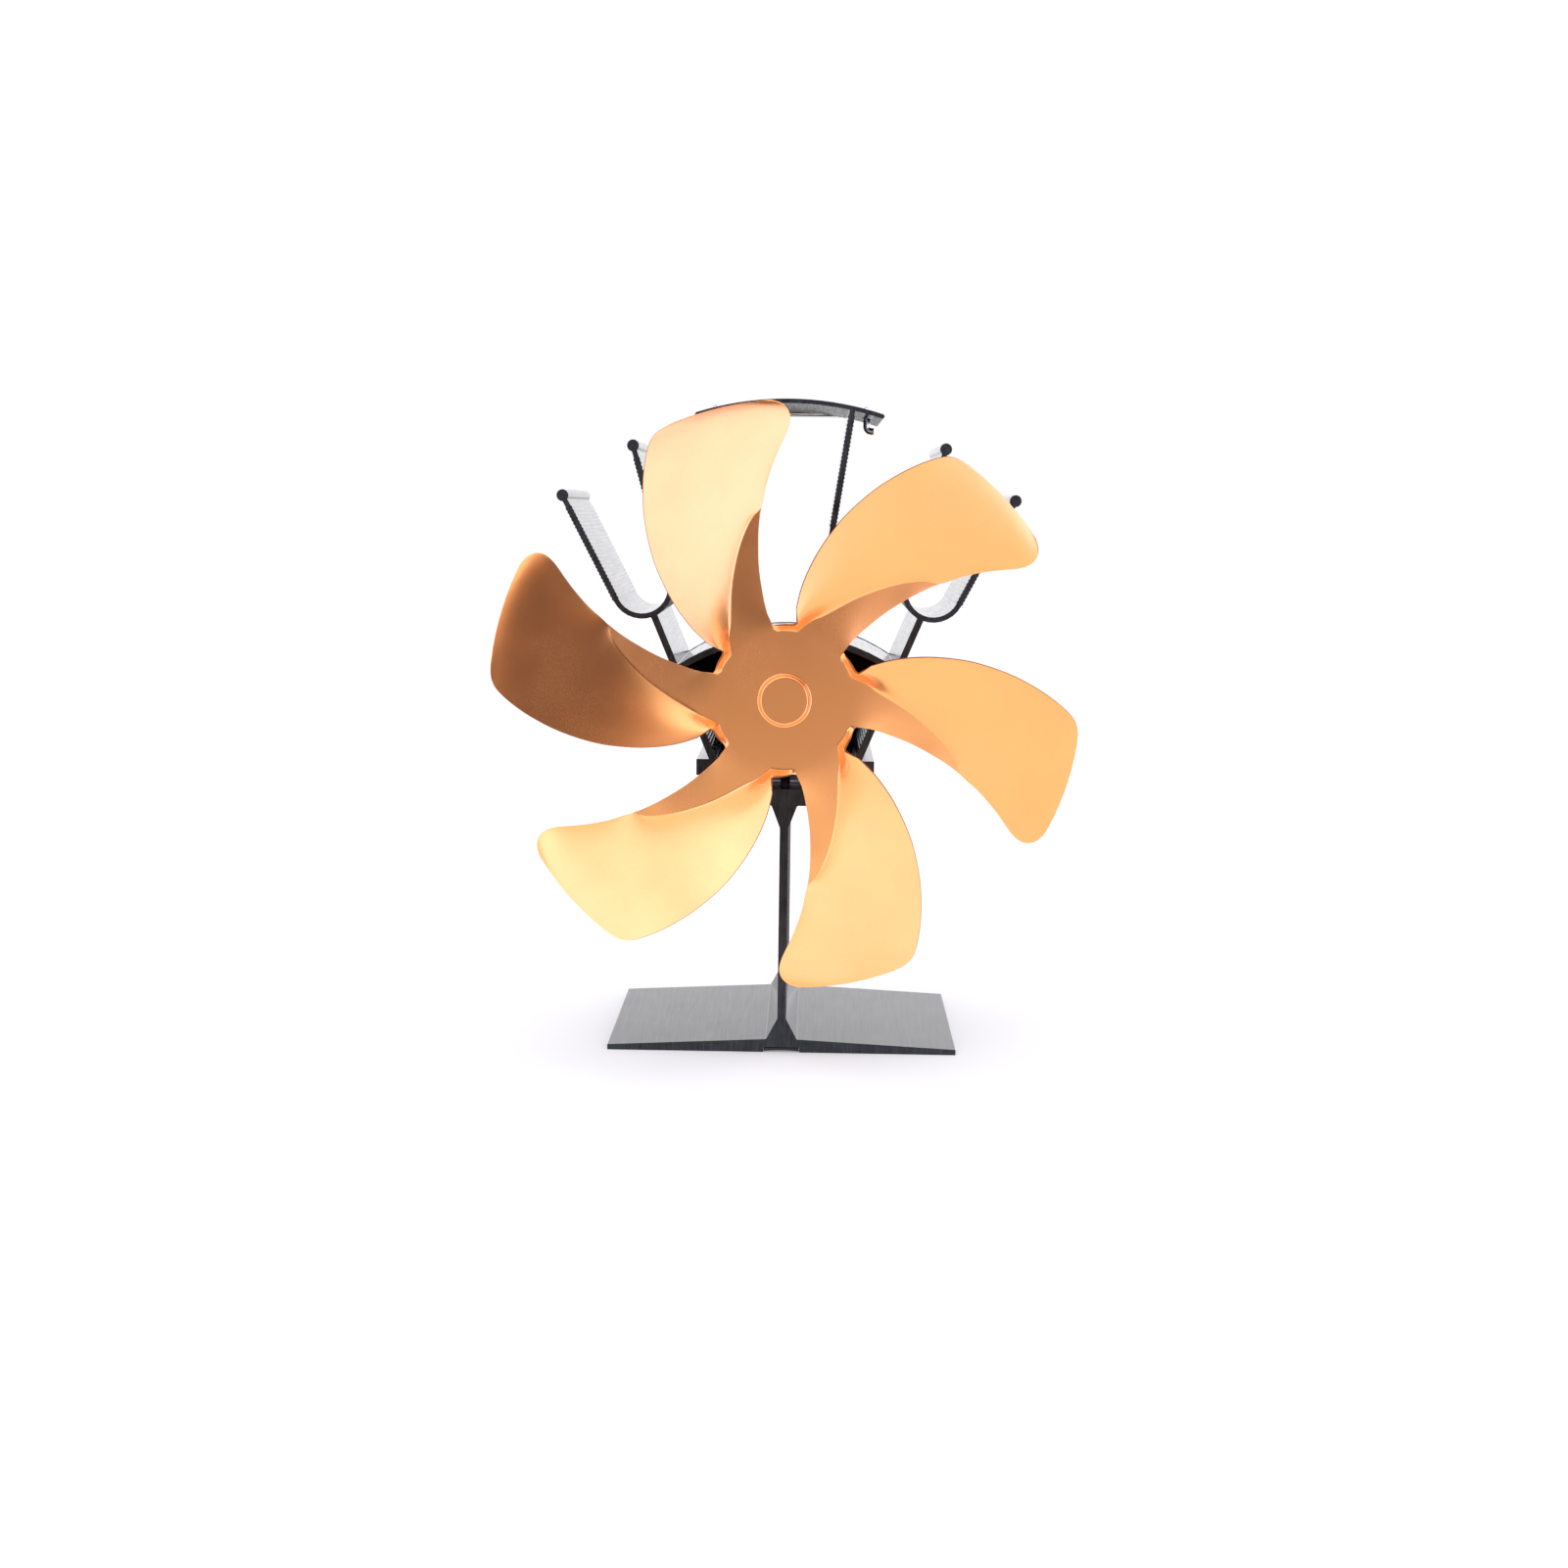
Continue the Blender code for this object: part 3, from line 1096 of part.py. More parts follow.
def hub_rows(root_share):
    """Return the rings of the hub and its raised boss for one blade's share of the turn."""
    claw = claw_rows()[0]
    notch = notch_rows(blade_rows()[0], claw_line(CLAW_EDGE_SHARES))[0]
    angles = [point[0] for point in reversed(claw)] + [point[0] for point in notch[1:]]
    rings = ((0.0, BOSS_HEIGHT), (BOSS_TOP_RADIUS / ROTOR_RADIUS, BOSS_HEIGHT),
             (BOSS_RADIUS / ROTOR_RADIUS, 0.0), (root_share, 0.0))
    return [[(angle, share, rise) for angle in angles] for share, rise in rings]


def make_fan_blade(material):
    """Make the pressed rotor sheet: hub, boss, notches, claws and blades."""
    shape = bmesh.new()
    blade = blade_rows()
    claw = claw_rows()
    notch = notch_rows(blade[0], claw_line(CLAW_EDGE_SHARES))
    hub = hub_rows(CREASE_SHARES[0][1])
    for index in range(BLADE_COUNT):
        turn = 360 * index / BLADE_COUNT
        for rows in (blade, claw, notch, hub):
            add_grid(shape, rows, turn)
    bmesh.ops.remove_doubles(shape, verts=shape.verts, dist=CLEARANCE / 10)
    bmesh.ops.dissolve_degenerate(shape, edges=shape.edges, dist=CLEARANCE / 100)
    copied = bmesh.ops.extrude_face_region(shape, geom=list(shape.faces))
    moved = [item for item in copied["geom"] if isinstance(item, bmesh.types.BMVert)]
    bmesh.ops.translate(shape, verts=moved, vec=(0.0, SHEET_THICKNESS, 0.0))
    return add_object("fan_blade", shape, material, 25.0)


def make_bushing(brass, steel):
    """Make the hub bushing that grips the shaft, and its set screw."""
    nose = HUB_FRONT - BOSS_HEIGHT + SHEET_THICKNESS + CLEARANCE
    bore = SHAFT_RADIUS + CLEARANCE
    flange_end = BUSHING_FRONT + BUSHING_FLANGE_THICKNESS
    bushing = turned("hub_bushing", [
        (bore, nose), (BUSHING_NOSE_RADIUS, nose), (BUSHING_NOSE_RADIUS, BUSHING_FRONT),
        (BUSHING_FLANGE_RADIUS, BUSHING_FRONT), (BUSHING_FLANGE_RADIUS, flange_end),
        (BUSHING_RADIUS, flange_end), (BUSHING_RADIUS, BUSHING_REAR), (bore, BUSHING_REAR)],
        (0.0, 0.0, AXIS_HEIGHT), brass)
    place_y = BUSHING_REAR - SET_SCREW_INSET
    hole = circle(SET_SCREW_RADIUS + CLEARANCE, (place_y, AXIS_HEIGHT))
    tool = prism("hole", hole, SHAFT_RADIUS, BUSHING_RADIUS + OVERRUN, brass, "side")
    combine(bushing, [tool], "DIFFERENCE")
    start = SHAFT_RADIUS + CLEARANCE
    end = start + SET_SCREW_LENGTH
    profile = [(0.0, start), (SET_SCREW_RADIUS, start), (SET_SCREW_RADIUS, end), (0.0, end)]
    turned("hub_set_screw", profile, (0.0, place_y, AXIS_HEIGHT), steel, "X", SMALL_SIDES)


def tube(name, points, radius, material, origin=(0.0, 0.0, 0.0)):
    """Make a round tube with closed ends along points that are given from its origin."""
    curve = bpy.data.curves.new(name, "CURVE")
    curve.dimensions = "3D"
    curve.bevel_depth = radius
    curve.bevel_resolution = TUBE_RESOLUTION
    curve.use_fill_caps = True
    spline = curve.splines.new("POLY")
    spline.points.add(len(points) - 1)
    for target, point in zip(spline.points, points):
        target.co = (*point, 1.0)
    curve.materials.append(material)
    item = bpy.data.objects.new(name, curve)
    item.location = origin
    bpy.context.scene.collection.objects.link(item)
    return item


def make_wires(red, black):
    """Make the motor's two leads, from the terminals down to the module."""
    for name, route, material in (("wire_red", RED_ROUTE, red), ("wire_black", BLACK_ROUTE, black)):
        points = [Vector((x, BASE_FRONT + y, BLOCK_TOP + z)) for x, y, z in route]
        tube(name, spread_rows(points, ROUTE_STEPS), WIRE_RADIUS, material)


def rounded_path(corners, radii):
    """Return a path through corners, each rounded by its own length of bend."""
    path = [corners[0]]
    for index, radius in enumerate(radii, start=1):
        corner = corners[index]
        start = corner + (corners[index - 1] - corner).normalized() * radius
        end = corner + (corners[index + 1] - corner).normalized() * radius
        for step in range(BEND_STEPS + 1):
            share = step / BEND_STEPS
            path.append(start.lerp(corner, share).lerp(corner.lerp(end, share), share))
    path.append(corners[-1])
    return path


def make_handle(material):
    """Make the wire handle, folded back, with its origin on the hinge line."""
    pivot = handle_pivot()
    side = HANDLE_HOLE_SPACING / 2
    rest_radius = PLATE_RADIUS + HANDLE_WIRE_RADIUS + CLEARANCE
    rest = height_on_circle(side, PLATE_CENTRE, rest_radius) - pivot
    reach = SINK_REAR + CLEARANCE + HANDLE_WIRE_RADIUS - SINK_MIDDLE
    hook_edge = side + HOOK_REACH + HANDLE_WIRE_RADIUS
    under = height_on_circle(hook_edge, PLATE_CENTRE, PLATE_RADIUS - TOP_PLATE_THICKNESS)
    drop = (pivot - under + CLEARANCE + HANDLE_WIRE_RADIUS) / math.cos(math.radians(HANDLE_SWING))
    half = [Vector((side + HOOK_REACH, 0.0, -drop)), Vector((side, 0.0, -drop)),
            Vector((side, 0.0, rest)), Vector((side, reach, rest))]
    corners = half + [Vector((-point.x, point.y, point.z)) for point in reversed(half)]
    bends = (HOOK_RADIUS, HANDLE_ELBOW_RADIUS, HANDLE_CORNER_RADIUS)
    path = rounded_path(corners, bends + bends[::-1])
    return tube("carry_handle", path, HANDLE_WIRE_RADIUS, material, (0.0, SINK_MIDDLE, pivot))


def carry_on_rotor(names):
    """Parent the turning pieces to an empty on the rotor's axis."""
    axis = bpy.data.objects.new("rotor_axis", None)
    axis.location = (0.0, HUB_FRONT, AXIS_HEIGHT)
    bpy.context.scene.collection.objects.link(axis)
    for name in names:
        item = bpy.data.objects[name]
        item.parent = axis
        item.matrix_parent_inverse = Matrix.Translation(axis.location).inverted()


def main():
    """Build the whole fan."""
    clear_scene()
    black = make_material("black_anodised", (0.022, 0.022, 0.024), 0.42, 0.6)
    painted = make_material("black_paint", (0.024, 0.024, 0.027), 0.5, 0.2)
    bronze_gold = make_material("bronze_gold", (0.86, 0.52, 0.27), 0.3, 1.0)
    chrome = make_material("bright_wire", (0.78, 0.79, 0.8), 0.12, 1.0)
    dark_steel = make_material("blackened_steel", (0.035, 0.035, 0.04), 0.35, 0.9)
    steel = make_material("zinc_steel", (0.5, 0.51, 0.52), 0.35, 1.0)
    brass = make_material("brass", (0.72, 0.55, 0.26), 0.3, 1.0)
    copper = make_material("copper", (0.75, 0.38, 0.22), 0.35, 1.0)
    ceramic = make_material("white_ceramic", (0.75, 0.75, 0.73), 0.6, 0.0)
    core = make_material("module_pellets", (0.3, 0.3, 0.32), 0.6, 0.0)
    plastic = make_material("motor_plastic", (0.03, 0.03, 0.03), 0.5, 0.0)
    magnet = make_material("ferrite", (0.06, 0.06, 0.06), 0.6, 0.0)
    red = make_material("red_lead", (0.55, 0.02, 0.02), 0.4, 0.0)
    lead = make_material("black_lead", (0.02, 0.02, 0.02), 0.4, 0.0)
    make_base(black)
    make_strip(dark_steel)
    make_module(ceramic, core)
    make_heat_sink(black)
    make_cover(painted)
    make_cover_screws(dark_steel)
    make_clamp_screws(dark_steel, steel)
    make_bracket(dark_steel)
    make_bracket_screws(dark_steel)
    make_motor_shell(steel, plastic, brass)
    make_magnets(magnet)
    make_armature(steel, copper, copper)
    make_shaft(steel)
    make_contacts(magnet, brass)
    make_fan_blade(bronze_gold)
    make_bushing(brass, dark_steel)
    make_wires(red, lead)
    make_handle(chrome)
    carry_on_rotor(("fan_blade", "hub_bushing", "hub_set_screw", "motor_shaft",
                    "armature_core", "armature_winding", "commutator"))


main()
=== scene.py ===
"""Looks of a heat-powered stove fan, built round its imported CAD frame.

The rotor side is the front and faces -Y, +X is to the right as seen from the front,
and +Z is up. Lengths are in metres, and grain sizes of finishes are in millimetres.
"""

import json
import logging
import math
from dataclasses import dataclass
from enum import Enum

import bmesh
import bpy
from bpy.types import ID, Material, Mesh, Node, NodeSocket, NodeTree, Object
from mathutils import Matrix, Vector


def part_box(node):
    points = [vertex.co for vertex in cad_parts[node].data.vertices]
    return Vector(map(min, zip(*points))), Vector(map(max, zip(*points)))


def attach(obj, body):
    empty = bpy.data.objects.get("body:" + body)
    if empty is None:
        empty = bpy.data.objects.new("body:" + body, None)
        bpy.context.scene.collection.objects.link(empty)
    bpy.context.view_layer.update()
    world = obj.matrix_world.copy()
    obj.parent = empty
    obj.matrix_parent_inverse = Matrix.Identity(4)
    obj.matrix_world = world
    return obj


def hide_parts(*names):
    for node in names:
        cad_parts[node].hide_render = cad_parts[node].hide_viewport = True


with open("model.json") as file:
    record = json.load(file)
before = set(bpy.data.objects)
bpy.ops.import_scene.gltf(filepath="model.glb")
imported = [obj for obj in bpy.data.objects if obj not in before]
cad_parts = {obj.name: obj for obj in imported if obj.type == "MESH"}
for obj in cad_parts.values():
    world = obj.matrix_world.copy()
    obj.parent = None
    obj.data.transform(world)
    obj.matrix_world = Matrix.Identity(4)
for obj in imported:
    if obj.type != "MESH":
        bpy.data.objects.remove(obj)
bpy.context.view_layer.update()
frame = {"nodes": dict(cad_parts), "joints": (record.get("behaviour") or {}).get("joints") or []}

# The CAD's bodies
BODY = "body"
ROTOR = "rotor"
HANDLE = "handle"

# Lengths
MM = 0.001
WELD = 0.000002
SEAM_WELD = 10 * WELD

# Angles in degrees: flatter edges are dissolved, and sharper ones stay sharp in the shading
FLAT_ANGLE = 0.5
SHARP_ANGLE = 60.0

# Cosines to Y from which an edge runs along it, and a face looks along it or lies square to it
EDGE_ALONG_Y = 0.99
FACE_ALONG_Y = 0.95
FACE_SQUARE_TO_Y = 0.9999

# Rounding, shading and grain
ROUNDING_STEPS = 2
BEND_STEPS = 8
FACES_LEAD = 100
GRAIN_DETAIL = 3.0

# Sockets of a Mix node that mixes colours
MIX_FROM = 6
MIX_TO = 7
MIXED = 2

# The sRGB curve
SRGB_TOE = 0.04045
SRGB_TOE_SLOPE = 12.92
SRGB_OFFSET = 0.055
SRGB_POWER = 2.4

# A table of points or shares, one row each
Rows = tuple[tuple[float, ...], ...]

log = logging.getLogger("stove_fan")


def linear(hex_colour: str) -> tuple[float, float, float, float]:
    """Turn an sRGB hex colour into linear values.

    Args:
        hex_colour: Six hex digits after a hash sign.

    Returns:
        The linear red, green and blue, and an alpha of one.
    """
    values = [int(hex_colour[place:place + 2], 16) / 255 for place in (1, 3, 5)]
    red, green, blue = [value / SRGB_TOE_SLOPE if value <= SRGB_TOE
                        else ((value + SRGB_OFFSET) / (1 + SRGB_OFFSET)) ** SRGB_POWER
                        for value in values]
    return (red, green, blue, 1.0)


def feed(tree: NodeTree, node: Node, inputs: dict) -> None:
    """Give a node's inputs their values and links.

    Args:
        tree: The node's tree.
        node: The node.
        inputs: Values or output sockets, by the name or number of the input.
    """
    for key, value in inputs.items():
        if isinstance(value, NodeSocket):
            tree.links.new(value, node.inputs[key])
        else:
            node.inputs[key].default_value = value


def add_node(tree: NodeTree, kind: str, inputs: dict | None = None, **settings: object) -> Node:
    """Add a node with its settings, values and links.

    Args:
        tree: The node tree that gets the node.
        kind: The node's type name.
        inputs: Values or output sockets, by the name or number of the input.
        **settings: The node's own properties.

    Returns:
        The new node.
    """
    node = tree.nodes.new(kind)
    for name, value in settings.items():
        setattr(node, name, value)
    feed(tree, node, inputs or {})
    return node


class Run(Enum):
    """How a grain is drawn out along X, Y and Z."""

    EVEN = (1.0, 1.0, 1.0)
    ALONG_Y = (1.0, 60.0, 1.0)
    ALONG_Z = (1.0, 1.0, 30.0)


@dataclass(frozen=True)
class Layer:
    """One scale of grain in a finish: its size, run, relief and what it changes."""

    size_mm: float
    run: Run = Run.EVEN
    relief_mm: float = 0.0
    tint: float = 0.0
    rough: float = 0.0
    low: float = 0.35
    high: float = 0.65


@dataclass(frozen=True)
class Finish:
    """A surface finish: its colours, gloss and layers of grain."""

    name: str
    slot: str
    colour: str
    shade: str
    roughness: float
    layers: tuple[Layer, ...]
    metallic: float = 0.0
    ior: float = 1.5
    coat: float = 0.0
    coat_roughness: float = 0.2

    def material(self) -> Material:
        """Return the finish's material, which is made once."""
        return bpy.data.materials.get(self.name) or self.make()

    def make(self) -> Material:
        """Build the material: each layer mixes in the shade, changes the gloss and adds relief.

        Returns:
            The new material.
        """
        material = bpy.data.materials.new(self.name)
        material.use_nodes = True
        tree = material.node_tree
        shader = tree.nodes["Principled BSDF"]
        place = add_node(tree, "ShaderNodeTexCoord").outputs["Object"]
        colour = add_node(tree, "ShaderNodeRGB").outputs["Color"]
        colour.default_value = linear(self.colour)
        roughness = add_node(tree, "ShaderNodeValue").outputs["Value"]
        roughness.default_value = self.roughness
        normal = None
        for layer in self.layers:
            grain = self.grain(tree, place, layer)
            if layer.tint:
                share = add_node(tree, "ShaderNodeMath", {0: grain, 1: layer.tint},
                                 operation="MULTIPLY").outputs[0]
                mixed = add_node(tree, "ShaderNodeMix",
                                 {"Factor": share, MIX_FROM: colour, MIX_TO: linear(self.shade)},
                                 data_type="RGBA")
                colour = mixed.outputs[MIXED]
            if layer.rough:
                roughness = add_node(tree, "ShaderNodeMath", {0: grain, 1: layer.rough, 2: roughness},
                                     operation="MULTIPLY_ADD").outputs[0]
            if layer.relief_mm:
                bump = add_node(tree, "ShaderNodeBump",
                                {"Height": grain, "Distance": layer.relief_mm * MM, "Strength": 1.0})
                if normal:
                    feed(tree, bump, {"Normal": normal})
                normal = bump.outputs["Normal"]
        feed(tree, shader, {"Base Color": colour, "Roughness": roughness, "Metallic": self.metallic})
        if normal:
            feed(tree, shader, {"Normal": normal})
        if not self.metallic:
            feed(tree, shader, {"IOR": self.ior})
        if self.coat:
            feed(tree, shader, {"Coat Weight": self.coat, "Coat Roughness": self.coat_roughness})
        return material

    @staticmethod
    def grain(tree: NodeTree, place: NodeSocket, layer: Layer) -> NodeSocket:
        """Add one layer's pattern.

        Args:
            tree: The material's node tree.
            place: The object coordinates.
            layer: The layer.

        Returns:
            A value from zero to one.
        """
        scale = [1 / (layer.size_mm * MM * stretch) for stretch in layer.run.value]
        placed = add_node(tree, "ShaderNodeMapping", {"Vector": place, "Scale": scale})
        noise = add_node(tree, "ShaderNodeTexNoise",
                         {"Vector": placed.outputs["Vector"], "Scale": 1.0, "Detail": GRAIN_DETAIL})
        clipped = add_node(tree, "ShaderNodeMapRange",
                           {"Value": noise.outputs["Fac"], "From Min": layer.low,
                            "From Max": layer.high})
        return clipped.outputs["Result"]


# Grain that is finer than the render shows is drawn coarser here, from 0.12 mm up, so that it
# shows: the real die lines, rolling grain, draw lines and tool lines are 0.02 to 0.05 mm apart.

# Black anodised extrusion: a dyed oxide skin, near-mirror at a low angle, with die lines
EXTRUDED_SKIN = Finish(
    "black_anodised_extruded_skin", "black_anodised", "#0B0B0E", "#16161A", 0.15,
    (Layer(0.35, Run.ALONG_Y, 0.0008, 0.5, 0.05), Layer(9.0, tint=0.35, rough=0.02)),
    ior=1.7)

# Sawn and then anodised end faces: matt, with fine upright saw scratches
SAWN_END = Finish(
    "black_anodised_sawn_end", "black_anodised", "#06080B", "#3A3E43", 0.34,
    (Layer(0.20, Run.ALONG_Z, 0.008, 0.75, 0.12, 0.47, 0.72), Layer(4.0, tint=0.25, rough=0.05)),
    ior=1.4)

# Satin black powder paint on steel sheet: a fine even orange peel
POWDER_PAINT = Finish(
    "satin_black_powder_paint", "black_paint", "#08080A", "#111114", 0.40,
    (Layer(0.45, Run.EVEN, 0.003, 0.35, 0.08), Layer(14.0, tint=0.3, rough=0.06)),
    ior=1.35)

# Painted highlight on the rounded stamped edges: a lighter brown-grey that stands in for the light
# these edges catch
EDGE_HIGHLIGHT_PAINT = Finish(
    "thin_paint_on_stamped_edge", "black_paint", "#75685E", "#453E38", 0.40,
    (Layer(0.30, Run.EVEN, 0.002, 0.6, 0.10), Layer(5.0, tint=0.5, rough=0.05)))

# Gold-dyed anodised sheet: a satin metal with rolling grain and a slight cloudiness, under the
# clear oxide skin that gives it a second, softer shine
GOLD_SHEET = Finish(
    "gold_dyed_anodised_sheet", "bronze_gold", "#FFB36D", "#EB9C59", 0.22,
    (Layer(0.14, Run.ALONG_Z, 0.0, 0.08, 0.02), Layer(0.35, tint=0.25, rough=0.02, low=0.2, high=0.8),
     Layer(22.0, tint=0.2, rough=0.03)),
    metallic=1.0, coat=0.6, coat_roughness=0.25)

# Sheared edge of the same sheet: rough, so that the dye looks deeper and darker there
SHEARED_EDGE = Finish(
    "gold_dyed_sheared_edge", "bronze_gold", "#B8703A", "#8A4F26", 0.45,
    (Layer(0.15, Run.ALONG_Y, 0.004, 0.5, 0.1), Layer(1.5, tint=0.4, rough=0.05)), metallic=1.0)

# Bright nickel-plated wire: mirror-like with faint draw lines
NICKEL_WIRE = Finish(
    "nickel_plated_wire", "bright_wire", "#D9DBDD", "#B9BBBE", 0.10,
    (Layer(0.20, Run.ALONG_Y, 0.0008, 0.3, 0.08), Layer(5.0, tint=0.4, rough=0.05)),
    metallic=1.0)

# Blackened steel: thin oxide on a machined surface
BLACK_STEEL = Finish(
    "blackened_steel", "blackened_steel", "#1E1E21", "#38383C", 0.28,
    (Layer(0.25, Run.EVEN, 0.003, 0.5, 0.12), Layer(2.5, tint=0.4, rough=0.06)),
    ior=1.9)

# Black-lacquered screw steel: deep black and glossy, so that its crown mirrors the white tent
SCREW_BLACK = Finish(
    "black_lacquered_screw", "blackened_steel", "#050506", "#121214", 0.16,
    (Layer(0.25, Run.EVEN, 0.001, 0.4, 0.06), Layer(2.0, tint=0.4, rough=0.05)), ior=1.45)

# Zinc-plated steel: pale, softly mottled metal
ZINC_STEEL = Finish(
    "zinc_plated_steel", "zinc_steel", "#BFC3C8", "#94989E", 0.30,
    (Layer(0.5, Run.EVEN, 0.002, 0.4, 0.12), Layer(6.0, tint=0.4, rough=0.06)),
    metallic=1.0)

# Turned brass: yellow metal with fine tool lines
BRASS = Finish(
    "turned_brass", "brass", "#D8B269", "#B58C45", 0.24,
    (Layer(0.12, Run.EVEN, 0.002, 0.3, 0.10), Layer(3.0, tint=0.4, rough=0.05)),
    metallic=1.0)

# Sintered bronze of the shaft's bearings: porous, its own dull bronze darkened to dark brown as painted
# shade for the shade inside the motor behind the cover's vents
SHADED_SINTERED_BRONZE = Finish(
    "oiled_sintered_bronze", "brass", "#5C452C", "#2E2115", 0.45,
    (Layer(0.15, Run.EVEN, 0.004, 0.6, 0.12), Layer(1.5, tint=0.3, rough=0.05)),
    metallic=1.0)

# Enamelled copper wire: red-brown metal under clear varnish
COPPER = Finish(
    "enamelled_copper", "copper", "#C97B4A", "#9C5430", 0.30,
    (Layer(0.3, Run.ALONG_Y, 0.010, 0.6, 0.10), Layer(2.0, tint=0.3, rough=0.05)),
    metallic=1.0, coat=0.4)

# Alumina ceramic: white, dry and slightly grainy
CERAMIC = Finish(
    "alumina_ceramic", "white_ceramic", "#D8D8D4", "#C2C2BD", 0.55,
    (Layer(0.2, Run.EVEN, 0.003, 0.4, 0.10), Layer(5.0, tint=0.4)), ior=1.75)

# Silicone seal round the module's pellets: grey and rubbery
SILICONE_SEAL = Finish(
    "grey_silicone_seal", "module_pellets", "#75767A", "#55565A", 0.48,
    (Layer(0.9, Run.EVEN, 0.04, 0.5, 0.10), Layer(0.15, Run.EVEN, 0.003, 0.2, 0.05)), ior=1.43)

# Moulded nylon: black with a fine spark-eroded texture
NYLON = Finish(
    "moulded_black_nylon", "motor_plastic", "#17171A", "#26262A", 0.45,
    (Layer(0.18, Run.EVEN, 0.006, 0.4, 0.12), Layer(4.0, tint=0.3, rough=0.05)), ior=1.53)

# Sintered ferrite and carbon: dark grey and granular
FERRITE = Finish(
    "sintered_ferrite", "ferrite", "#2E2E31", "#454549", 0.55,
    (Layer(0.25, Run.EVEN, 0.010, 0.6, 0.10), Layer(3.0, tint=0.3)), ior=2.0)

# Silicone lead insulation: saturated and softly glossy
RED_LEAD = Finish(
    "red_silicone_lead", "red_lead", "#C4121A", "#8E0B12", 0.30,
    (Layer(0.6, Run.EVEN, 0.006, 0.35, 0.08), Layer(6.0, tint=0.3)), ior=1.45)

# The same insulation in black: its gloss shows as a thin line along the lead
BLACK_LEAD = Finish(
    "black_silicone_lead", "black_lead", "#151517", "#26262A", 0.34,
    (Layer(0.6, Run.EVEN, 0.006, 0.35, 0.08), Layer(6.0, tint=0.3)), ior=1.45)


def new_object(name: str, data: ID) -> Object:
    """Put a mesh, a camera or a lamp into the scene as an object at the origin.

    Args:
        name: The object's name.
        data: Its mesh, camera or lamp.

    Returns:
        The new object.
    """
    item = bpy.data.objects.new(name, data)
    bpy.context.scene.collection.objects.link(item)
    return item


def modify(item: Object, name: str, kind: str, **settings: object) -> None:
    """Add a modifier with its settings.

    Args:
        item: The object that gets the modifier.
        name: The modifier's name.
        kind: Its type name.
        **settings: The modifier's own properties.
    """
    modifier = item.modifiers.new(name, kind)
    for key, value in settings.items():
        setattr(modifier, key, value)


def bake(item: Object) -> None:
    """Turn an object's modifiers into a plain mesh of its own.

    Args:
        item: The object.
    """
    graph = bpy.context.evaluated_depsgraph_get()
    mesh = bpy.data.meshes.new_from_object(item.evaluated_get(graph))
    item.modifiers.clear()
    item.data = mesh
    mesh.name = item.name


def smooth(item: Object, angle: float) -> None:
    """Shade an object smooth between edges sharper than an angle in degrees."""
    item.data.shade_smooth()
    item.data.set_sharp_from_angle(angle=math.radians(angle))


def mesh_from(shape: bmesh.types.BMesh, name: str) -> Mesh:
    """Turn a finished shape into a mesh and free it.

    Args:
        shape: The shape.
        name: The mesh's name.

    Returns:
        The mesh.
    """
    mesh = bpy.data.meshes.new(name)
    shape.to_mesh(mesh)
    shape.free()
    return mesh


def close_seams(shape: bmesh.types.BMesh, distance: float) -> None:
    """Weld a shape's seams and poles and turn its faces one way.

    Args:
        shape: The shape.
        distance: How far apart points may be to be welded.
    """
    bmesh.ops.remove_doubles(shape, verts=shape.verts, dist=distance)
    bmesh.ops.dissolve_degenerate(shape, edges=shape.edges, dist=WELD)
    bmesh.ops.recalc_face_normals(shape, faces=shape.faces)


def joint_place(name: str) -> Vector:
    """Return a point on a joint's axis, from the frame."""
    joint = next(entry for entry in frame["joints"] if entry["name"] == name)
    return Vector(joint["pos_m"])


def show(item: Object, body: str, *finishes: Finish) -> None:
    """Dress a piece in its finishes and let it ride on its body.

    Args:
        item: The piece.
        body: The CAD body that it moves with.
        *finishes: The finish of each material slot, the main one first.
    """
    materials = item.data.materials
    for index, finish in enumerate(finishes):
        if index < len(materials):
            materials[index] = finish.material()
        else:
            materials.append(finish.material())
    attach(item, body)
    log.info("%s: %d faces on %s", item.name, len(item.data.polygons), body)


def dress_node(node: str, finish: Finish) -> None:
    """Give a CAD node that stays as it is its finish.

    Args:
        node: The node's name.
        finish: The finish.
    """
    item = frame["nodes"][node]
    item.data.materials.clear()
    item.data.materials.append(finish.material())
    log.info("%s: CAD node in %s", node, finish.name)


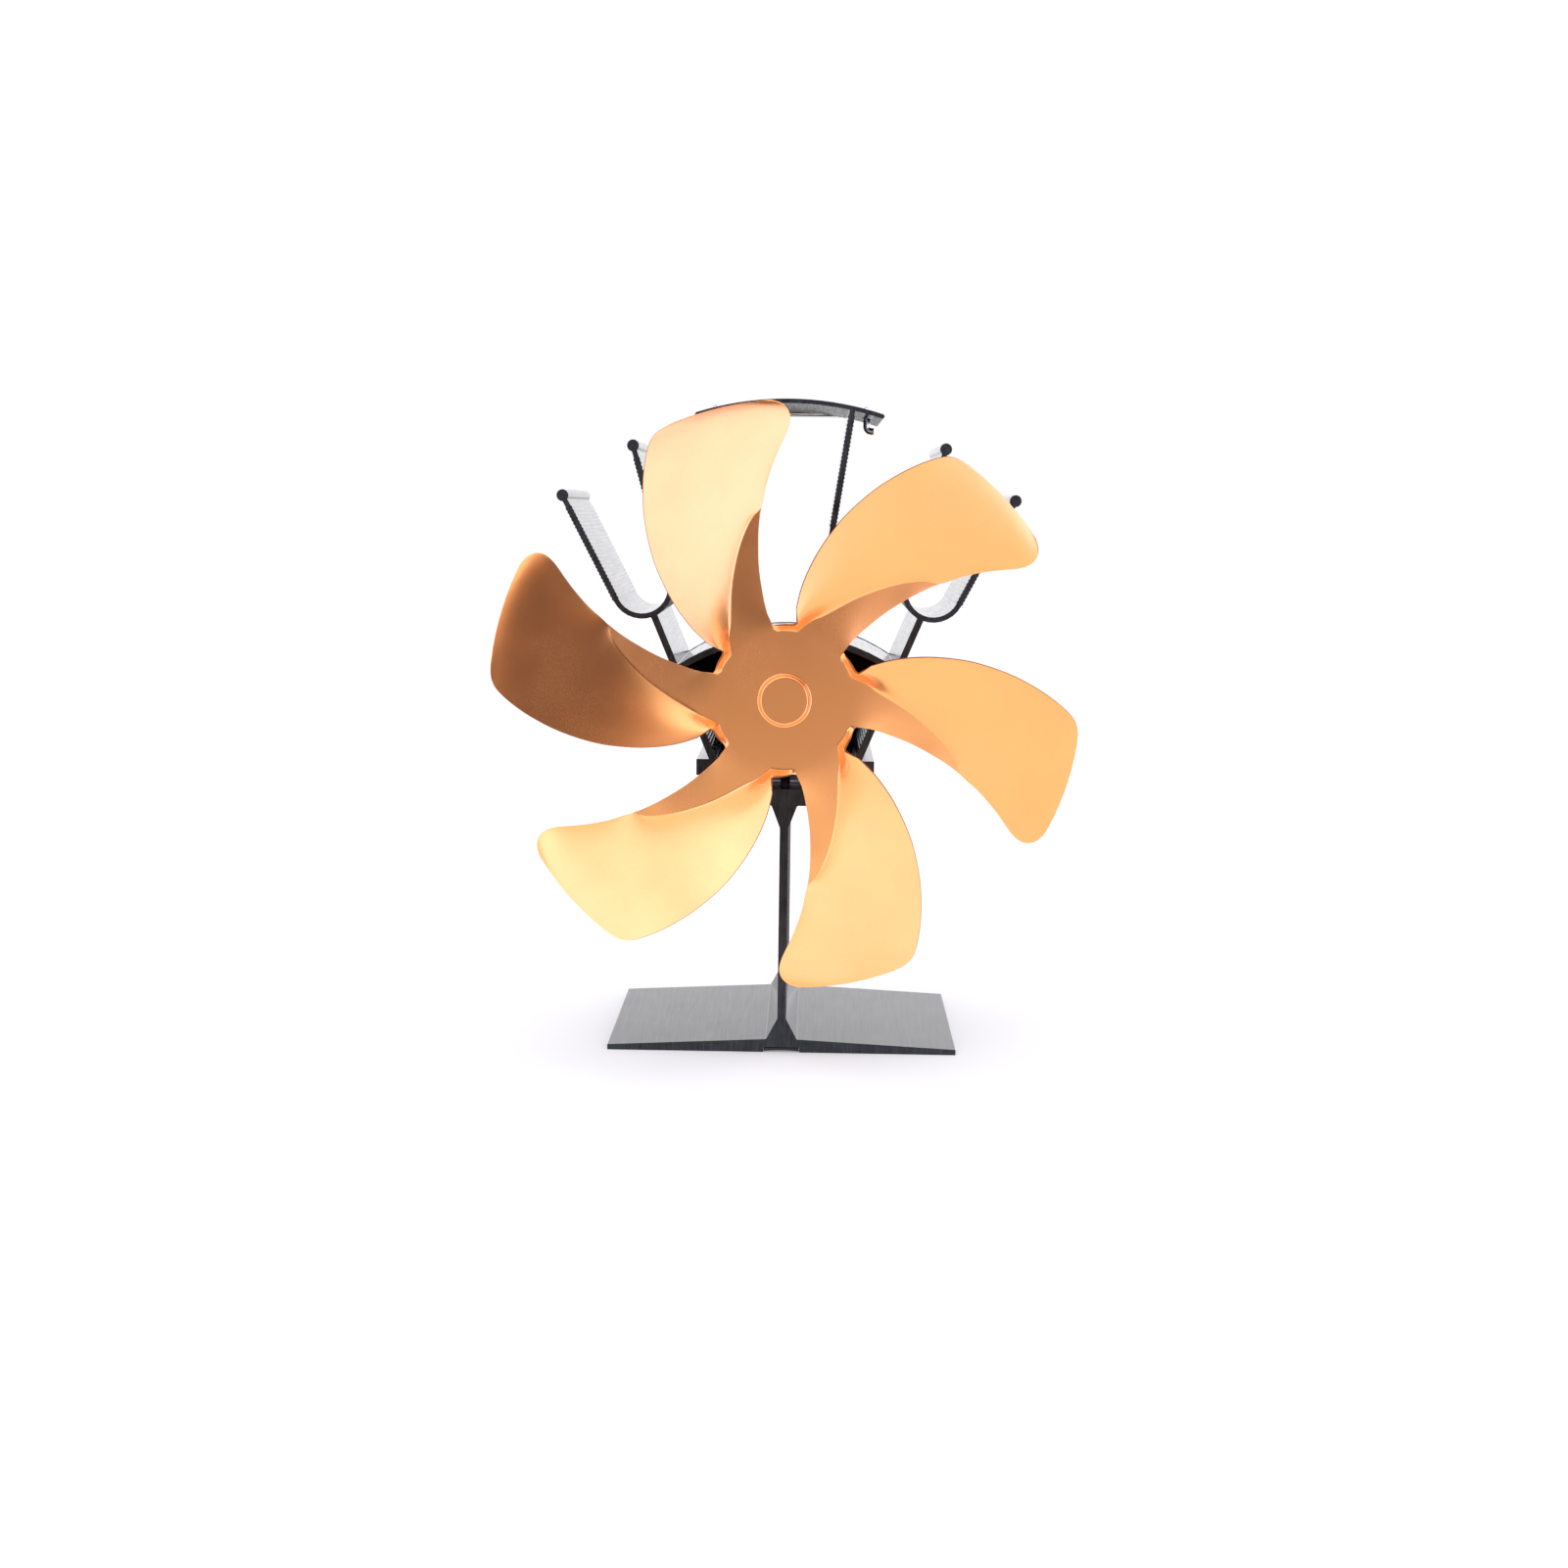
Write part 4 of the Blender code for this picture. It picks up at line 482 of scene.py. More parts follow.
def edged_copy(node: str, name: str, width: float, cut_share: float = 1.0,
               angle: float = 25.0, edge_slot: int = -1) -> Object:
    """Return a welded copy of a CAD node with its sharp edges rounded.

    Args:
        node: The CAD node that the copy stands for.
        name: The copy's name.
        width: How far the rounding reaches from each edge.
        cut_share: The share of that width on edges that don't run along Y, the extrusions' way.
        angle: The least angle between faces, in degrees, that is rounded.
        edge_slot: The material slot of the rounded edges, or -1 for that of the faces beside them.

    Returns:
        The copy, which is a plain mesh.
    """
    shape = bmesh.new()
    shape.from_mesh(frame["nodes"][node].data)
    bmesh.ops.remove_doubles(shape, verts=shape.verts, dist=WELD)
    bmesh.ops.dissolve_limit(shape, angle_limit=math.radians(FLAT_ANGLE),
                             verts=shape.verts, edges=shape.edges)
    weights = shape.edges.layers.float.new("bevel_weight_edge")
    for edge in shape.edges:
        run = (edge.verts[1].co - edge.verts[0].co).normalized()
        if edge.calc_face_angle(0.0) > math.radians(angle):
            edge[weights] = 1.0 if abs(run.y) > EDGE_ALONG_Y else cut_share
    mesh = mesh_from(shape, name)
    for _ in range(edge_slot + 1):
        mesh.materials.append(None)
    item = new_object(name, mesh)
    mesh.shade_smooth()
    modify(item, "rounding", "BEVEL", width=width, segments=ROUNDING_STEPS,
           limit_method="WEIGHT", use_clamp_overlap=False, material=edge_slot)
    modify(item, "flat faces lead", "WEIGHTED_NORMAL", weight=FACES_LEAD)
    bake(item)
    level_ends(item.data)
    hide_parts(node)
    return item


def level_ends(mesh: Mesh) -> None:
    """Shade the faces that look along Y as one true plane, also in their narrowest slivers.

    Args:
        mesh: The mesh, which keeps the shading of its other faces.
    """
    normals = [corner.vector.copy() for corner in mesh.corner_normals]
    for face in mesh.polygons:
        if abs(face.normal.y) > FACE_SQUARE_TO_Y:
            for corner in face.loop_indices:
                normals[corner] = Vector((0.0, math.copysign(1.0, face.normal.y), 0.0))
    mesh.normals_split_custom_set(normals)


def mark_ends(item: Object) -> None:
    """Give the faces of an extruded piece that look along Y the second material slot."""
    for face in item.data.polygons:
        face.material_index = 1 if abs(face.normal.y) > FACE_ALONG_Y else 0


class Tree:
    """A Geometry Nodes tree with named inputs that ends in plain geometry of one material."""

    def __init__(self, name: str) -> None:
        """Start the tree with its geometry sockets.

        Args:
            name: The tree's name.
        """
        self.group = bpy.data.node_groups.new(name, "GeometryNodeTree")
        self.keys: dict[str, str] = {}
        for side in ("OUTPUT", "INPUT"):
            self.group.interface.new_socket("Geometry", in_out=side, socket_type="NodeSocketGeometry")
        self.source = self.group.nodes.new("NodeGroupInput")
        self.sink = self.group.nodes.new("NodeGroupOutput")

    def input(self, name: str, kind: str) -> NodeSocket:
        """Add a named input.

        Args:
            name: The input's name.
            kind: The kind of its socket, such as Float.

        Returns:
            Its socket inside the tree.
        """
        socket = self.group.interface.new_socket(name, in_out="INPUT", socket_type=f"NodeSocket{kind}")
        self.keys[name] = socket.identifier
        return self.source.outputs[name]

    def add(self, kind: str, inputs: dict | None = None, **settings: object) -> Node:
        """Add a node to the tree."""
        return add_node(self.group, kind, inputs, **settings)

    def close(self, geometry: NodeSocket) -> None:
        """End the tree in Realize Instances and Set Material.

        Args:
            geometry: The geometry that the tree has made.
        """
        material = self.input("Material", "Material")
        plain = self.add("GeometryNodeRealizeInstances", {"Geometry": geometry})
        dressed = self.add("GeometryNodeSetMaterial",
                           {"Geometry": plain.outputs[0], "Material": material})
        self.group.links.new(dressed.outputs[0], self.sink.inputs[0])

    def run(self, item: Object, values: dict[str, object]) -> None:
        """Run the tree on an object and keep its result as a plain mesh.

        Args:
            item: The object that carries the tree's source geometry.
            values: The values of the named inputs.
        """
        modifier = item.modifiers.new(self.group.name, "NODES")
        modifier.node_group = self.group
        for name, value in values.items():
            modifier[self.keys[name]] = value
        bake(item)


def line_object(name: str, points: list[Vector], bends: list[float] | None = None) -> Object:
    """Make an object of one chain of edges, for a tree that sweeps along it.

    Args:
        name: The object's name.
        points: The chain's points.
        bends: The bend radius at each point, stored as the attribute "bend".

    Returns:
        The object.
    """
    mesh = bpy.data.meshes.new(name)
    edges = [(index, index + 1) for index in range(len(points) - 1)]
    mesh.from_pydata([tuple(point) for point in points], edges, [])
    values = bends or [0.0] * len(points)
    mesh.attributes.new("bend", "FLOAT", "POINT").data.foreach_set("value", values)
    return new_object(name, mesh)


def wire_tree(smooth_route: bool) -> Tree:
    """Build the tree that sweeps a round wire along a chain of edges.

    Args:
        smooth_route: True for a soft lead through its points, False for wire bent at its corners.

    Returns:
        The tree, with the inputs Radius, Step and Sides.
    """
    tree = Tree("soft_lead" if smooth_route else "bent_wire")
    radius = tree.input("Radius", "Float")
    step = tree.input("Step", "Float")
    sides = tree.input("Sides", "Int")
    route = tree.add("GeometryNodeMeshToCurve", {"Mesh": tree.source.outputs["Geometry"]}).outputs[0]
    if smooth_route:
        route = tree.add("GeometryNodeCurveSplineType", {"Curve": route},
                         spline_type="CATMULL_ROM").outputs[0]
        route = tree.add("GeometryNodeResampleCurve", {"Curve": route, "Length": step},
                         mode="LENGTH").outputs[0]
    else:
        bend = tree.add("GeometryNodeInputNamedAttribute", {"Name": "bend"}, data_type="FLOAT")
        route = tree.add("GeometryNodeFilletCurve",
                         {"Curve": route, "Radius": bend.outputs[0], "Count": BEND_STEPS},
                         mode="POLY").outputs[0]
    profile = tree.add("GeometryNodeCurvePrimitiveCircle", {"Resolution": sides, "Radius": radius})
    swept = tree.add("GeometryNodeCurveToMesh",
                     {"Curve": route, "Profile Curve": profile.outputs[0], "Fill Caps": True})
    tree.close(swept.outputs[0])
    return tree


def spread(rows: Rows, steps: int) -> list[Vector]:
    """Add points between the rows of a table along a smooth curve through them.

    Args:
        rows: The table.
        steps: How many steps one gap of the table becomes.

    Returns:
        The finer table, with a zero third value for rows of two.
    """
    table = [Vector((*row, 0.0)) if len(row) == 2 else Vector(row) for row in rows]
    result = []
    for index in range(len(table) - 1):
        p1, p2 = table[index], table[index + 1]
        p0 = table[index - 1] if index else 2 * p1 - p2
        p3 = table[index + 2] if index + 2 < len(table) else 2 * p2 - p1
        for step in range(steps):
            t = step / steps
            result.append(((2 * p1) + (p2 - p0) * t + (2 * p0 - 5 * p1 + 4 * p2 - p3) * t * t
                           + (3 * p1 - p0 - 3 * p2 + p3) * t ** 3) / 2)
    result.append(table[-1])
    return result


@dataclass
class Rotor:
    """The pressed six-blade rotor sheet and what turns with it.

    The outline's tables hold an angle in degrees and a share of the radius for each point,
    and rises are measured forward of the hub's front face.
    """

    radius: float = 0.0934
    count: int = 6
    sheet: float = 0.0008
    boss_radius: float = 0.0081
    boss_height: float = 0.0025
    boss_foot_share: float = 1.04
    hub_flat_share: float = 0.97
    lead_rise: float = 0.0096
    trail_tip_drop: float = 0.0034
    tip_slope: float = 0.00042
    rim_width: float = 0.00016
    steps: int = 4
    notch_steps: int = 12
    notch_rows: int = 5
    notch_hollow_share: float = 0.72
    notch_lift: float = 0.0009
    root_rows: int = 8
    root_fold_share: float = 0.75
    fold_share: float = 0.12
    fold_power: float = 5.0
    even_passes: int = 60
    even_reach: float = 0.34
    blade_columns: tuple[float, ...] = (0.0, 0.02, 0.06, 0.13, 0.22, 0.34, 0.47, 0.60, 0.73, 0.86, 1.0)
    claw_columns: tuple[float, ...] = (0.0, 0.05, 0.16, 0.35, 0.65, 1.0)
    boss_rings: Rows = (
        (0.0, 1.0), (0.84, 1.0), (0.865, 1.0), (0.885, 0.985), (0.905, 0.94), (0.93, 0.83),
        (0.945, 0.72), (0.955, 0.60), (0.965, 0.30), (0.975, 0.08), (1.0, 0.0))
    crease_shares: Rows = (
        (49.6, 0.2315), (34.3, 0.322), (24.9, 0.4215), (19.1, 0.4955),
        (15.1, 0.549), (10.9, 0.602), (7.5, 0.634))
    claw_edge_shares: Rows = (
        (10.4, 0.2315), (11.6, 0.276), (12.3, 0.326), (11.8, 0.426),
        (10.1, 0.525), (8.8, 0.586), (7.5, 0.634))
    trail_shares: Rows = (
        (7.5, 0.634), (5.4, 0.708), (2.9, 0.787), (0.3, 0.866),
        (-0.4, 0.910), (0.1, 0.940), (1.4, 0.960), (3.3, 0.970))
    lead_shares: Rows = (
        (53.2, 0.304), (51.9, 0.376), (49.0, 0.466), (45.8, 0.550), (43.2, 0.616),
        (40.2, 0.684), (37.1, 0.753), (34.5, 0.807), (32.5, 0.848), (30.2, 0.893),
        (28.4, 0.925), (27.0, 0.943), (25.2, 0.954), (22.8, 0.959))
    lead_rise_shares: tuple[float, ...] = (
        0.55, 0.65, 0.75, 0.82, 0.87, 0.91, 0.95, 0.98, 1.0, 0.99, 0.96, 0.92, 0.86, 0.76)

    def point(self, angle: float, share: float, rise: float) -> Vector:
        """Place a point of the sheet round the rotor's centre.

        Args:
            angle: Its angle from straight up, in degrees against the clock.
            share: Its share of the rotor's radius.
            rise: How far it stands forward.

        Returns:
            The point.
        """
        turn = math.radians(90 + angle)
        reach = self.radius * share
        return Vector((reach * math.cos(turn), -rise, reach * math.sin(turn)))

    def start_lines(self) -> tuple[list[Vector], list[Vector]]:
        """Return the line where a blade starts and the claw's free edge, both sinking outwards.

        Returns:
            Two lines of angle, radius share and rise. The blade starts at the claw's crease and,
            beyond the claw's point, at its trailing edge.
        """
        start = spread(self.crease_shares + self.trail_shares[1:], self.steps)
        flat = [self.point(row.x, row.y, 0.0) for row in start]
        steps = [(near - far).length for near, far in zip(flat, flat[1:])]
        gone = 0.0
        for row, step in zip(start, [0.0] + steps):
            gone += step / sum(steps)
            row.z = -self.trail_tip_drop * gone * gone * (3 - 2 * gone)
        lowest = min(start, key=lambda row: row.x)
        for row in start[start.index(lowest):]:
            row.z += self.tip_slope * (row.x - lowest.x)
        edge = spread(self.claw_edge_shares, self.steps)
        for row, near in zip(edge, start):
            row.z = near.z
        return start, edge

    def blade_rows(self) -> list[list[Vector]]:
        """Lay one blade between its start and its leading edge, which stands forward.

        Returns:
            Its rows of angle, radius share and rise, root first.
        """
        lead = [(angle, share, self.lead_rise * rise)
                for (angle, share), rise in zip(self.lead_shares, self.lead_rise_shares)]
        rows = []
        for index, (first, end) in enumerate(zip(self.start_lines()[0], spread(lead, self.steps))):
            root = max(0.0, 1 - index / self.root_rows) ** 2
            fold = self.fold_share + (self.root_fold_share - self.fold_share) * root
            row = []
            for column in self.blade_columns:
                mixed = first.lerp(end, column)
                bend = column + fold * (1 - column - (1 - column) ** self.fold_power)
                mixed.z = first.z + (end.z - first.z) * bend
                row.append(mixed)
            rows.append(row)
        self.even_out(rows)
        return rows

    def even_out(self, rows: list[list[Vector]]) -> None:
        """Smooth a blade's rows into each other, least near its crease, so that no ridge is left.

        Args:
            rows: The blade's rows, which are changed in place.
        """
        for place, column in enumerate(self.blade_columns[1:-1], 1):
            for _ in range(round(self.even_passes * min(1.0, column / self.even_reach))):
                line = [row[place] for row in rows]
                for index in range(1, len(rows) - 1):
                    rows[index][place] = (line[index - 1] + 2 * line[index] + line[index + 1]) / 4

    def claw_rows(self) -> list[list[Vector]]:
        """Return the rows of one claw, from its crease to its free edge."""
        return [[first.lerp(end, column) for column in self.claw_columns]
                for first, end in zip(*self.start_lines())]

    def notch_grid(self) -> list[list[Vector]]:
        """Return the rows of the lip between a blade's root and the next claw's edge.

        Returns:
            The rows, the hub's edge first. The lip is narrower in its middle than at its ends, and
            it stands up along the blade's root and runs out flat at the claw.
        """
        root = self.blade_rows()[0]
        edge = [Vector((row.x + 360 / self.count, row.y, row.z)) for row in self.start_lines()[1]]
        rows = []
        for level in range(self.notch_rows + 1):
            row = []
            for column in range(self.notch_steps + 1):
                share = column / self.notch_steps
                hollow = 1 - (1 - self.notch_hollow_share) * (1 - (2 * share - 1) ** 4)
                near = self.along(root, level * hollow)
                far = self.along(edge, level * hollow)
                mixed = near.lerp(far, share)
                stand = 1 - share ** 3 * (4 - 3 * share)
                lift = self.notch_lift * level / self.notch_rows * 4 * share * (1 - share)
                mixed.z = near.z * stand + far.z * (1 - stand) + lift * stand
                if column < self.notch_steps:
                    mixed.y = near.y
                row.append(mixed)
            rows.append(row)
        return rows

    @staticmethod
    def along(line: list[Vector], place: float) -> Vector:
        """Return the point at a fractional index of a line."""
        index = min(int(place), len(line) - 2)
        return line[index].lerp(line[index + 1], place - index)

    def hub_rows(self) -> list[list[Vector]]:
        """Lay the hub and its raised boss for one blade's share of the turn.

        Returns:
            Their rings, the innermost first.
        """
        claw = self.claw_rows()[0]
        notch = self.notch_grid()[0]
        angles = [point.x for point in reversed(claw)] + [point.x for point in notch[1:]]
        boss = self.boss_radius / self.radius
        hub = self.crease_shares[0][1]
        rings = [(reach * boss, self.boss_height * height) for reach, height in self.boss_rings]
        rings += [(boss * self.boss_foot_share, 0.0), (hub * self.hub_flat_share, 0.0), (hub, 0.0)]
        return [[Vector((angle, share, rise)) for angle in angles] for share, rise in rings]

    def sector(self) -> Mesh:
        """Join one blade, claw, lip and piece of the hub, front faces towards -Y.

        Returns:
            The mesh of one sixth of the sheet, round the origin.
        """
        shape = bmesh.new()
        for rows in (self.blade_rows(), self.claw_rows(), self.notch_grid(), self.hub_rows()):
            grid = [[shape.verts.new(self.point(*entry)) for entry in row] for row in rows]
            for lower, upper in zip(grid, grid[1:]):
                for near, far in zip(zip(lower, upper), zip(lower[1:], upper[1:])):
                    shape.faces.new((near[0], far[0], far[1], near[1]))
        close_seams(shape, SEAM_WELD)
        if sum(face.normal.y * face.calc_area() for face in shape.faces) > 0:
            bmesh.ops.reverse_faces(shape, faces=shape.faces)
        return mesh_from(shape, "rotor_sector")

    def copies_tree(self) -> Tree:
        """Build the tree that repeats the sector round the axis and welds it into one sheet.

        Returns:
            The tree, with the inputs Count, Centre and Weld.
        """
        tree = Tree("blades_round_hub")
        count = tree.input("Count", "Int")
        centre = tree.input("Centre", "Vector")
        weld = tree.input("Weld", "Float")
        points = tree.add("GeometryNodePoints", {"Count": count, "Position": centre})
        turn = tree.add("ShaderNodeMath", {0: math.tau, 1: count}, operation="DIVIDE")
        index = tree.add("GeometryNodeInputIndex")
        angle = tree.add("ShaderNodeMath", {0: turn.outputs[0], 1: index.outputs[0]},
                         operation="MULTIPLY")
        rotation = tree.add("ShaderNodeCombineXYZ", {"Y": angle.outputs[0]})
        copies = tree.add("GeometryNodeInstanceOnPoints",
                          {"Points": points.outputs[0], "Instance": tree.source.outputs["Geometry"],
                           "Rotation": rotation.outputs[0]})
        plain = tree.add("GeometryNodeRealizeInstances", {"Geometry": copies.outputs[0]})
        welded = tree.add("GeometryNodeMergeByDistance",
                          {"Geometry": plain.outputs[0], "Distance": weld})
        tree.close(welded.outputs[0])
        return tree

    def build(self) -> None:
        """Make the rotor sheet and dress it and the pieces on its shaft."""
        item = new_object("rotor_sheet", self.sector())
        item.data.materials.append(GOLD_SHEET.material())
        item.data.materials.append(SHEARED_EDGE.material())
        self.copies_tree().run(item, {"Count": self.count, "Centre": joint_place("rotor_spin"),
                                      "Weld": SEAM_WELD, "Material": GOLD_SHEET.material()})
        modify(item, "sheet", "SOLIDIFY", thickness=self.sheet, offset=-1, material_offset_rim=1)
        modify(item, "rim", "BEVEL", width=self.rim_width, segments=ROUNDING_STEPS,
               angle_limit=math.radians(SHARP_ANGLE))
        bake(item)
        smooth(item, SHARP_ANGLE)
        modify(item, "sheet leads the rim", "WEIGHTED_NORMAL", weight=FACES_LEAD, keep_sharp=True)
        bake(item)
        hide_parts("fan_blade")
        show(item, ROTOR, GOLD_SHEET, SHEARED_EDGE)
        for node, finish in (("hub_bushing", BRASS), ("hub_set_screw", BLACK_STEEL),
                             ("motor_shaft", ZINC_STEEL), ("armature_core", ZINC_STEEL),
                             ("armature_winding", COPPER), ("commutator", COPPER)):
            dress_node(node, finish)


@dataclass
class Extrusions:
    """The base and the heat sink, both cut from black anodised extrusions."""

    corner: float = 0.00025
    cut_share: float = 0.3
    strip_share: float = 1.07
    strip_edge: float = 0.0001

    def build(self) -> None:
        """Round the edges of both extrusions and the strip, and dress their skins and ends."""
        for node, name in (("base_extrusion", "foot_and_web"), ("heat_sink", "finned_heat_sink")):
            item = edged_copy(node, name, self.corner, self.cut_share)
            show(item, BODY, EXTRUDED_SKIN, SAWN_END)
            mark_ends(item)
        strip = edged_copy("heat_strip", "riveted_heat_strip", self.strip_edge)
        strip.data.transform(Matrix.Diagonal((self.strip_share, 1.0, 1.0, 1.0)))
        show(strip, BODY, BLACK_STEEL)


@dataclass(frozen=True)
class PanScrew:
    """A pan head screw with a cross recess, upright with its head's underside at zero."""

    head_radius: float
    shank_length: float
    head_height: float = 0.0021
    shank_radius: float = 0.0015
    thread_pitch: float = 0.0005
    thread_depth: float = 0.0002
    recess_reach: float = 0.0017
    recess_width: float = 0.0008
    recess_depth: float = 0.0013
    recess_bottom_share: float = 0.45
    recess_top_share: float = 1.55
    recess_narrowing: float = 0.3
    sides: int = 40
    sharp_angle: float = 32.0
    crown_shares: Rows = (
        (1.0, 0.0), (1.0, 0.22), (0.985, 0.33), (0.94, 0.47), (0.86, 0.61), (0.74, 0.75),
        (0.58, 0.87), (0.38, 0.96), (0.18, 0.99), (0.0, 1.0))

    def profile(self) -> list[Vector]:
        """Draw the outline of one side, with its thread's grooves.

        Returns:
            The outline's points, from the shank's tip to the crown.
        """
        points = [Vector((0.0, 0.0, -self.shank_length))]
        rings = round(self.shank_length / self.thread_pitch)
        for index in range(rings):
            low = -self.shank_length + index * self.thread_pitch
            points.append(Vector((self.shank_radius - self.thread_depth, 0.0, low)))
            points.append(Vector((self.shank_radius, 0.0, low + self.thread_pitch / 2)))
        points.append(Vector((self.shank_radius - self.thread_depth, 0.0, 0.0)))
        points += [Vector((self.head_radius * wide, 0.0, self.head_height * high))
                   for wide, high in self.crown_shares]
        return points

    def turned(self) -> Object:
        """Turn the outline round the screw's axis.

        Returns:
            The closed solid, without its recess.
        """
        shape = bmesh.new()
        chain = [shape.verts.new(point) for point in self.profile()]
        edges = [shape.edges.new(pair) for pair in zip(chain, chain[1:])]
        bmesh.ops.spin(shape, geom=chain + edges, cent=(0, 0, 0), axis=(0, 0, 1),
                       angle=math.tau, steps=self.sides, use_merge=True)
        close_seams(shape, WELD)
        return new_object("turned_screw", mesh_from(shape, "turned_screw"))

    def recess_tool(self, turn: float) -> Object:
        """Return one tapered wing of the tool that presses the cross recess.

        Args:
            turn: How far the wing is turned round the screw's axis, in degrees.

        Returns:
            The wing, which is narrower at the recess's bottom.
        """
        shape = bmesh.new()
        bmesh.ops.create_cube(shape, size=1.0)
        bottom = self.head_height - self.recess_depth
        top = self.head_height + self.recess_depth
        for vert in shape.verts:
            low = vert.co.z < 0
            share = self.recess_bottom_share if low else self.recess_top_share
            vert.co.x *= 2 * self.recess_reach * share
            vert.co.y *= self.recess_width * (1 - self.recess_narrowing + self.recess_narrowing * share)
            vert.co.z = bottom if low else top
        bmesh.ops.rotate(shape, verts=shape.verts, cent=(0, 0, 0),
                         matrix=Matrix.Rotation(math.radians(turn), 3, "Z"))
        return new_object("recess_wing", mesh_from(shape, "recess_wing"))

    def build(self) -> Object:
        """Press the cross into the turned screw.

        Returns:
            The finished screw.
        """
        item = self.turned()
        for turn in (0.0, 90.0):
            tool = self.recess_tool(turn)
            modify(item, "recess", "BOOLEAN", object=tool, solver="EXACT")
            bake(item)
            bpy.data.objects.remove(tool)
        smooth(item, self.sharp_angle)
        return item

    @staticmethod
    def tree() -> Tree:
        """Build the tree that sets a turned copy of a screw on each point.

        Returns:
            The tree, with the inputs Screw and Turn.
        """
        tree = Tree("screws_on_points")
        screw = tree.input("Screw", "Object")
        turn = tree.input("Turn", "Vector")
        source = tree.add("GeometryNodeObjectInfo", {"Object": screw})
        copies = tree.add("GeometryNodeInstanceOnPoints",
                          {"Points": tree.source.outputs["Geometry"],
                           "Instance": source.outputs["Geometry"], "Rotation": turn})
        tree.close(copies.outputs[0])
        return tree

    def drive(self, name: str, upright: bool, *nodes: str) -> None:
        """Set one screw in the place of each CAD screw, its crown where theirs is.

        Args:
            name: The name of the piece with the screws.
            upright: True for heads on top, False for heads at the rear.
            *nodes: The CAD screws that the piece replaces.
        """
        source = self.build()
        seats = []
        for node in nodes:
            low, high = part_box(node)
            middle = (low + high) / 2
            if upright:
                seats.append((middle.x, middle.y, high.z - self.head_height))
            else:
                seats.append((middle.x, high.y - self.head_height, middle.z))
        mesh = bpy.data.meshes.new(name)
        mesh.from_pydata(seats, [], [])
        item = new_object(name, mesh)
        turn = (0.0, 0.0, 0.0) if upright else (-math.pi / 2, 0.0, 0.0)
        self.tree().run(item, {"Screw": source, "Turn": turn, "Material": SCREW_BLACK.material()})
        bpy.data.objects.remove(source)
        smooth(item, self.sharp_angle)
        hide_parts(*nodes)
        show(item, BODY, SCREW_BLACK)


@dataclass
class RearCover:
    """The stamped and painted rear cover with its two screws."""

    edge: float = 0.00028
    screw: PanScrew = PanScrew(head_radius=0.0032, shank_length=0.009)

    def build(self) -> None:
        """Round the stamped edges, paint the cover and drive its screws."""
        cover = edged_copy("rear_cover", "vented_rear_cover", self.edge, edge_slot=1)
        # The rounded edges take the second finish, a lighter brown-grey that is a painted highlight
        show(cover, BODY, POWDER_PAINT, EDGE_HIGHLIGHT_PAINT)
        self.screw.drive("cover_screws", False, "cover_screw_left", "cover_screw_right")


@dataclass
class Module:
    """The thermoelectric module and the screws that clamp it."""

    def build(self) -> None:
        """Dress the module's layers, the clamp screws and their washers."""
        for node in ("module_hot_plate", "module_cold_plate"):
            dress_node(node, CERAMIC)
        dress_node("module_core", SILICONE_SEAL)
        for end in ("front", "rear"):
            dress_node(f"clamp_screw_{end}", BLACK_STEEL)
            dress_node(f"clamp_washer_{end}", ZINC_STEEL)


@dataclass
class Motor:
    """The motor, its bracket and its fixed inner pieces."""

    edge: float = 0.0003
    screw: PanScrew = PanScrew(head_radius=0.0027, shank_length=0.006)

    def build(self) -> None:
        """Round the can, cap and bracket and dress every fixed piece of the motor."""
        show(edged_copy("motor_can", "drawn_motor_can", self.edge), BODY, ZINC_STEEL)
        show(edged_copy("motor_end_cap", "moulded_end_cap", self.edge), BODY, NYLON)
        show(edged_copy("motor_bracket", "folded_motor_bracket", self.edge), BODY, BLACK_STEEL)
        # The bearings' dark brown is partly their own dull bronze and partly painted shade
        for piece, sides, finish in (("bearing", ("front", "rear"), SHADED_SINTERED_BRONZE),
                                     ("magnet", ("upper", "lower"), FERRITE),
                                     ("brush", ("left", "right"), FERRITE),
                                     ("terminal", ("left", "right"), BRASS)):
            for side in sides:
                dress_node(f"{piece}_{side}", finish)
        self.screw.drive("bracket_screws", True, "bracket_screw_left", "bracket_screw_right")


@dataclass
class Handle:
    """The bent wire handle, hooked through the top plate."""

    wire_radius: float = 0.0011
    hook_reach: float = 0.0024
    hook_bend: float = 0.0016
    elbow_bend: float = 0.0018
    corner_bend: float = 0.003
    sides: int = 24

    def build(self) -> None:
        """Sweep the wire along its bends, from the CAD node's own box."""
        low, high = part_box("carry_handle")
        side = high.x - self.hook_reach
        start_y = joint_place("handle_swing").y
        bottom = low.z + self.wire_radius
        top = high.z - self.wire_radius
        rear = high.y - self.wire_radius
        half = [Vector((high.x, start_y, bottom)), Vector((side, start_y, bottom)),
                Vector((side, start_y, top)), Vector((side, rear, top))]
        points = half + [Vector((-point.x, point.y, point.z)) for point in reversed(half)]
        bends = [0.0, self.hook_bend, self.elbow_bend, self.corner_bend]
        item = line_object("wire_handle", points, bends + bends[::-1])
        wire_tree(False).run(item, {"Radius": self.wire_radius, "Step": self.wire_radius,
                                    "Sides": self.sides, "Material": NICKEL_WIRE.material()})
        smooth(item, SHARP_ANGLE)
        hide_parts("carry_handle")
        show(item, HANDLE, NICKEL_WIRE)


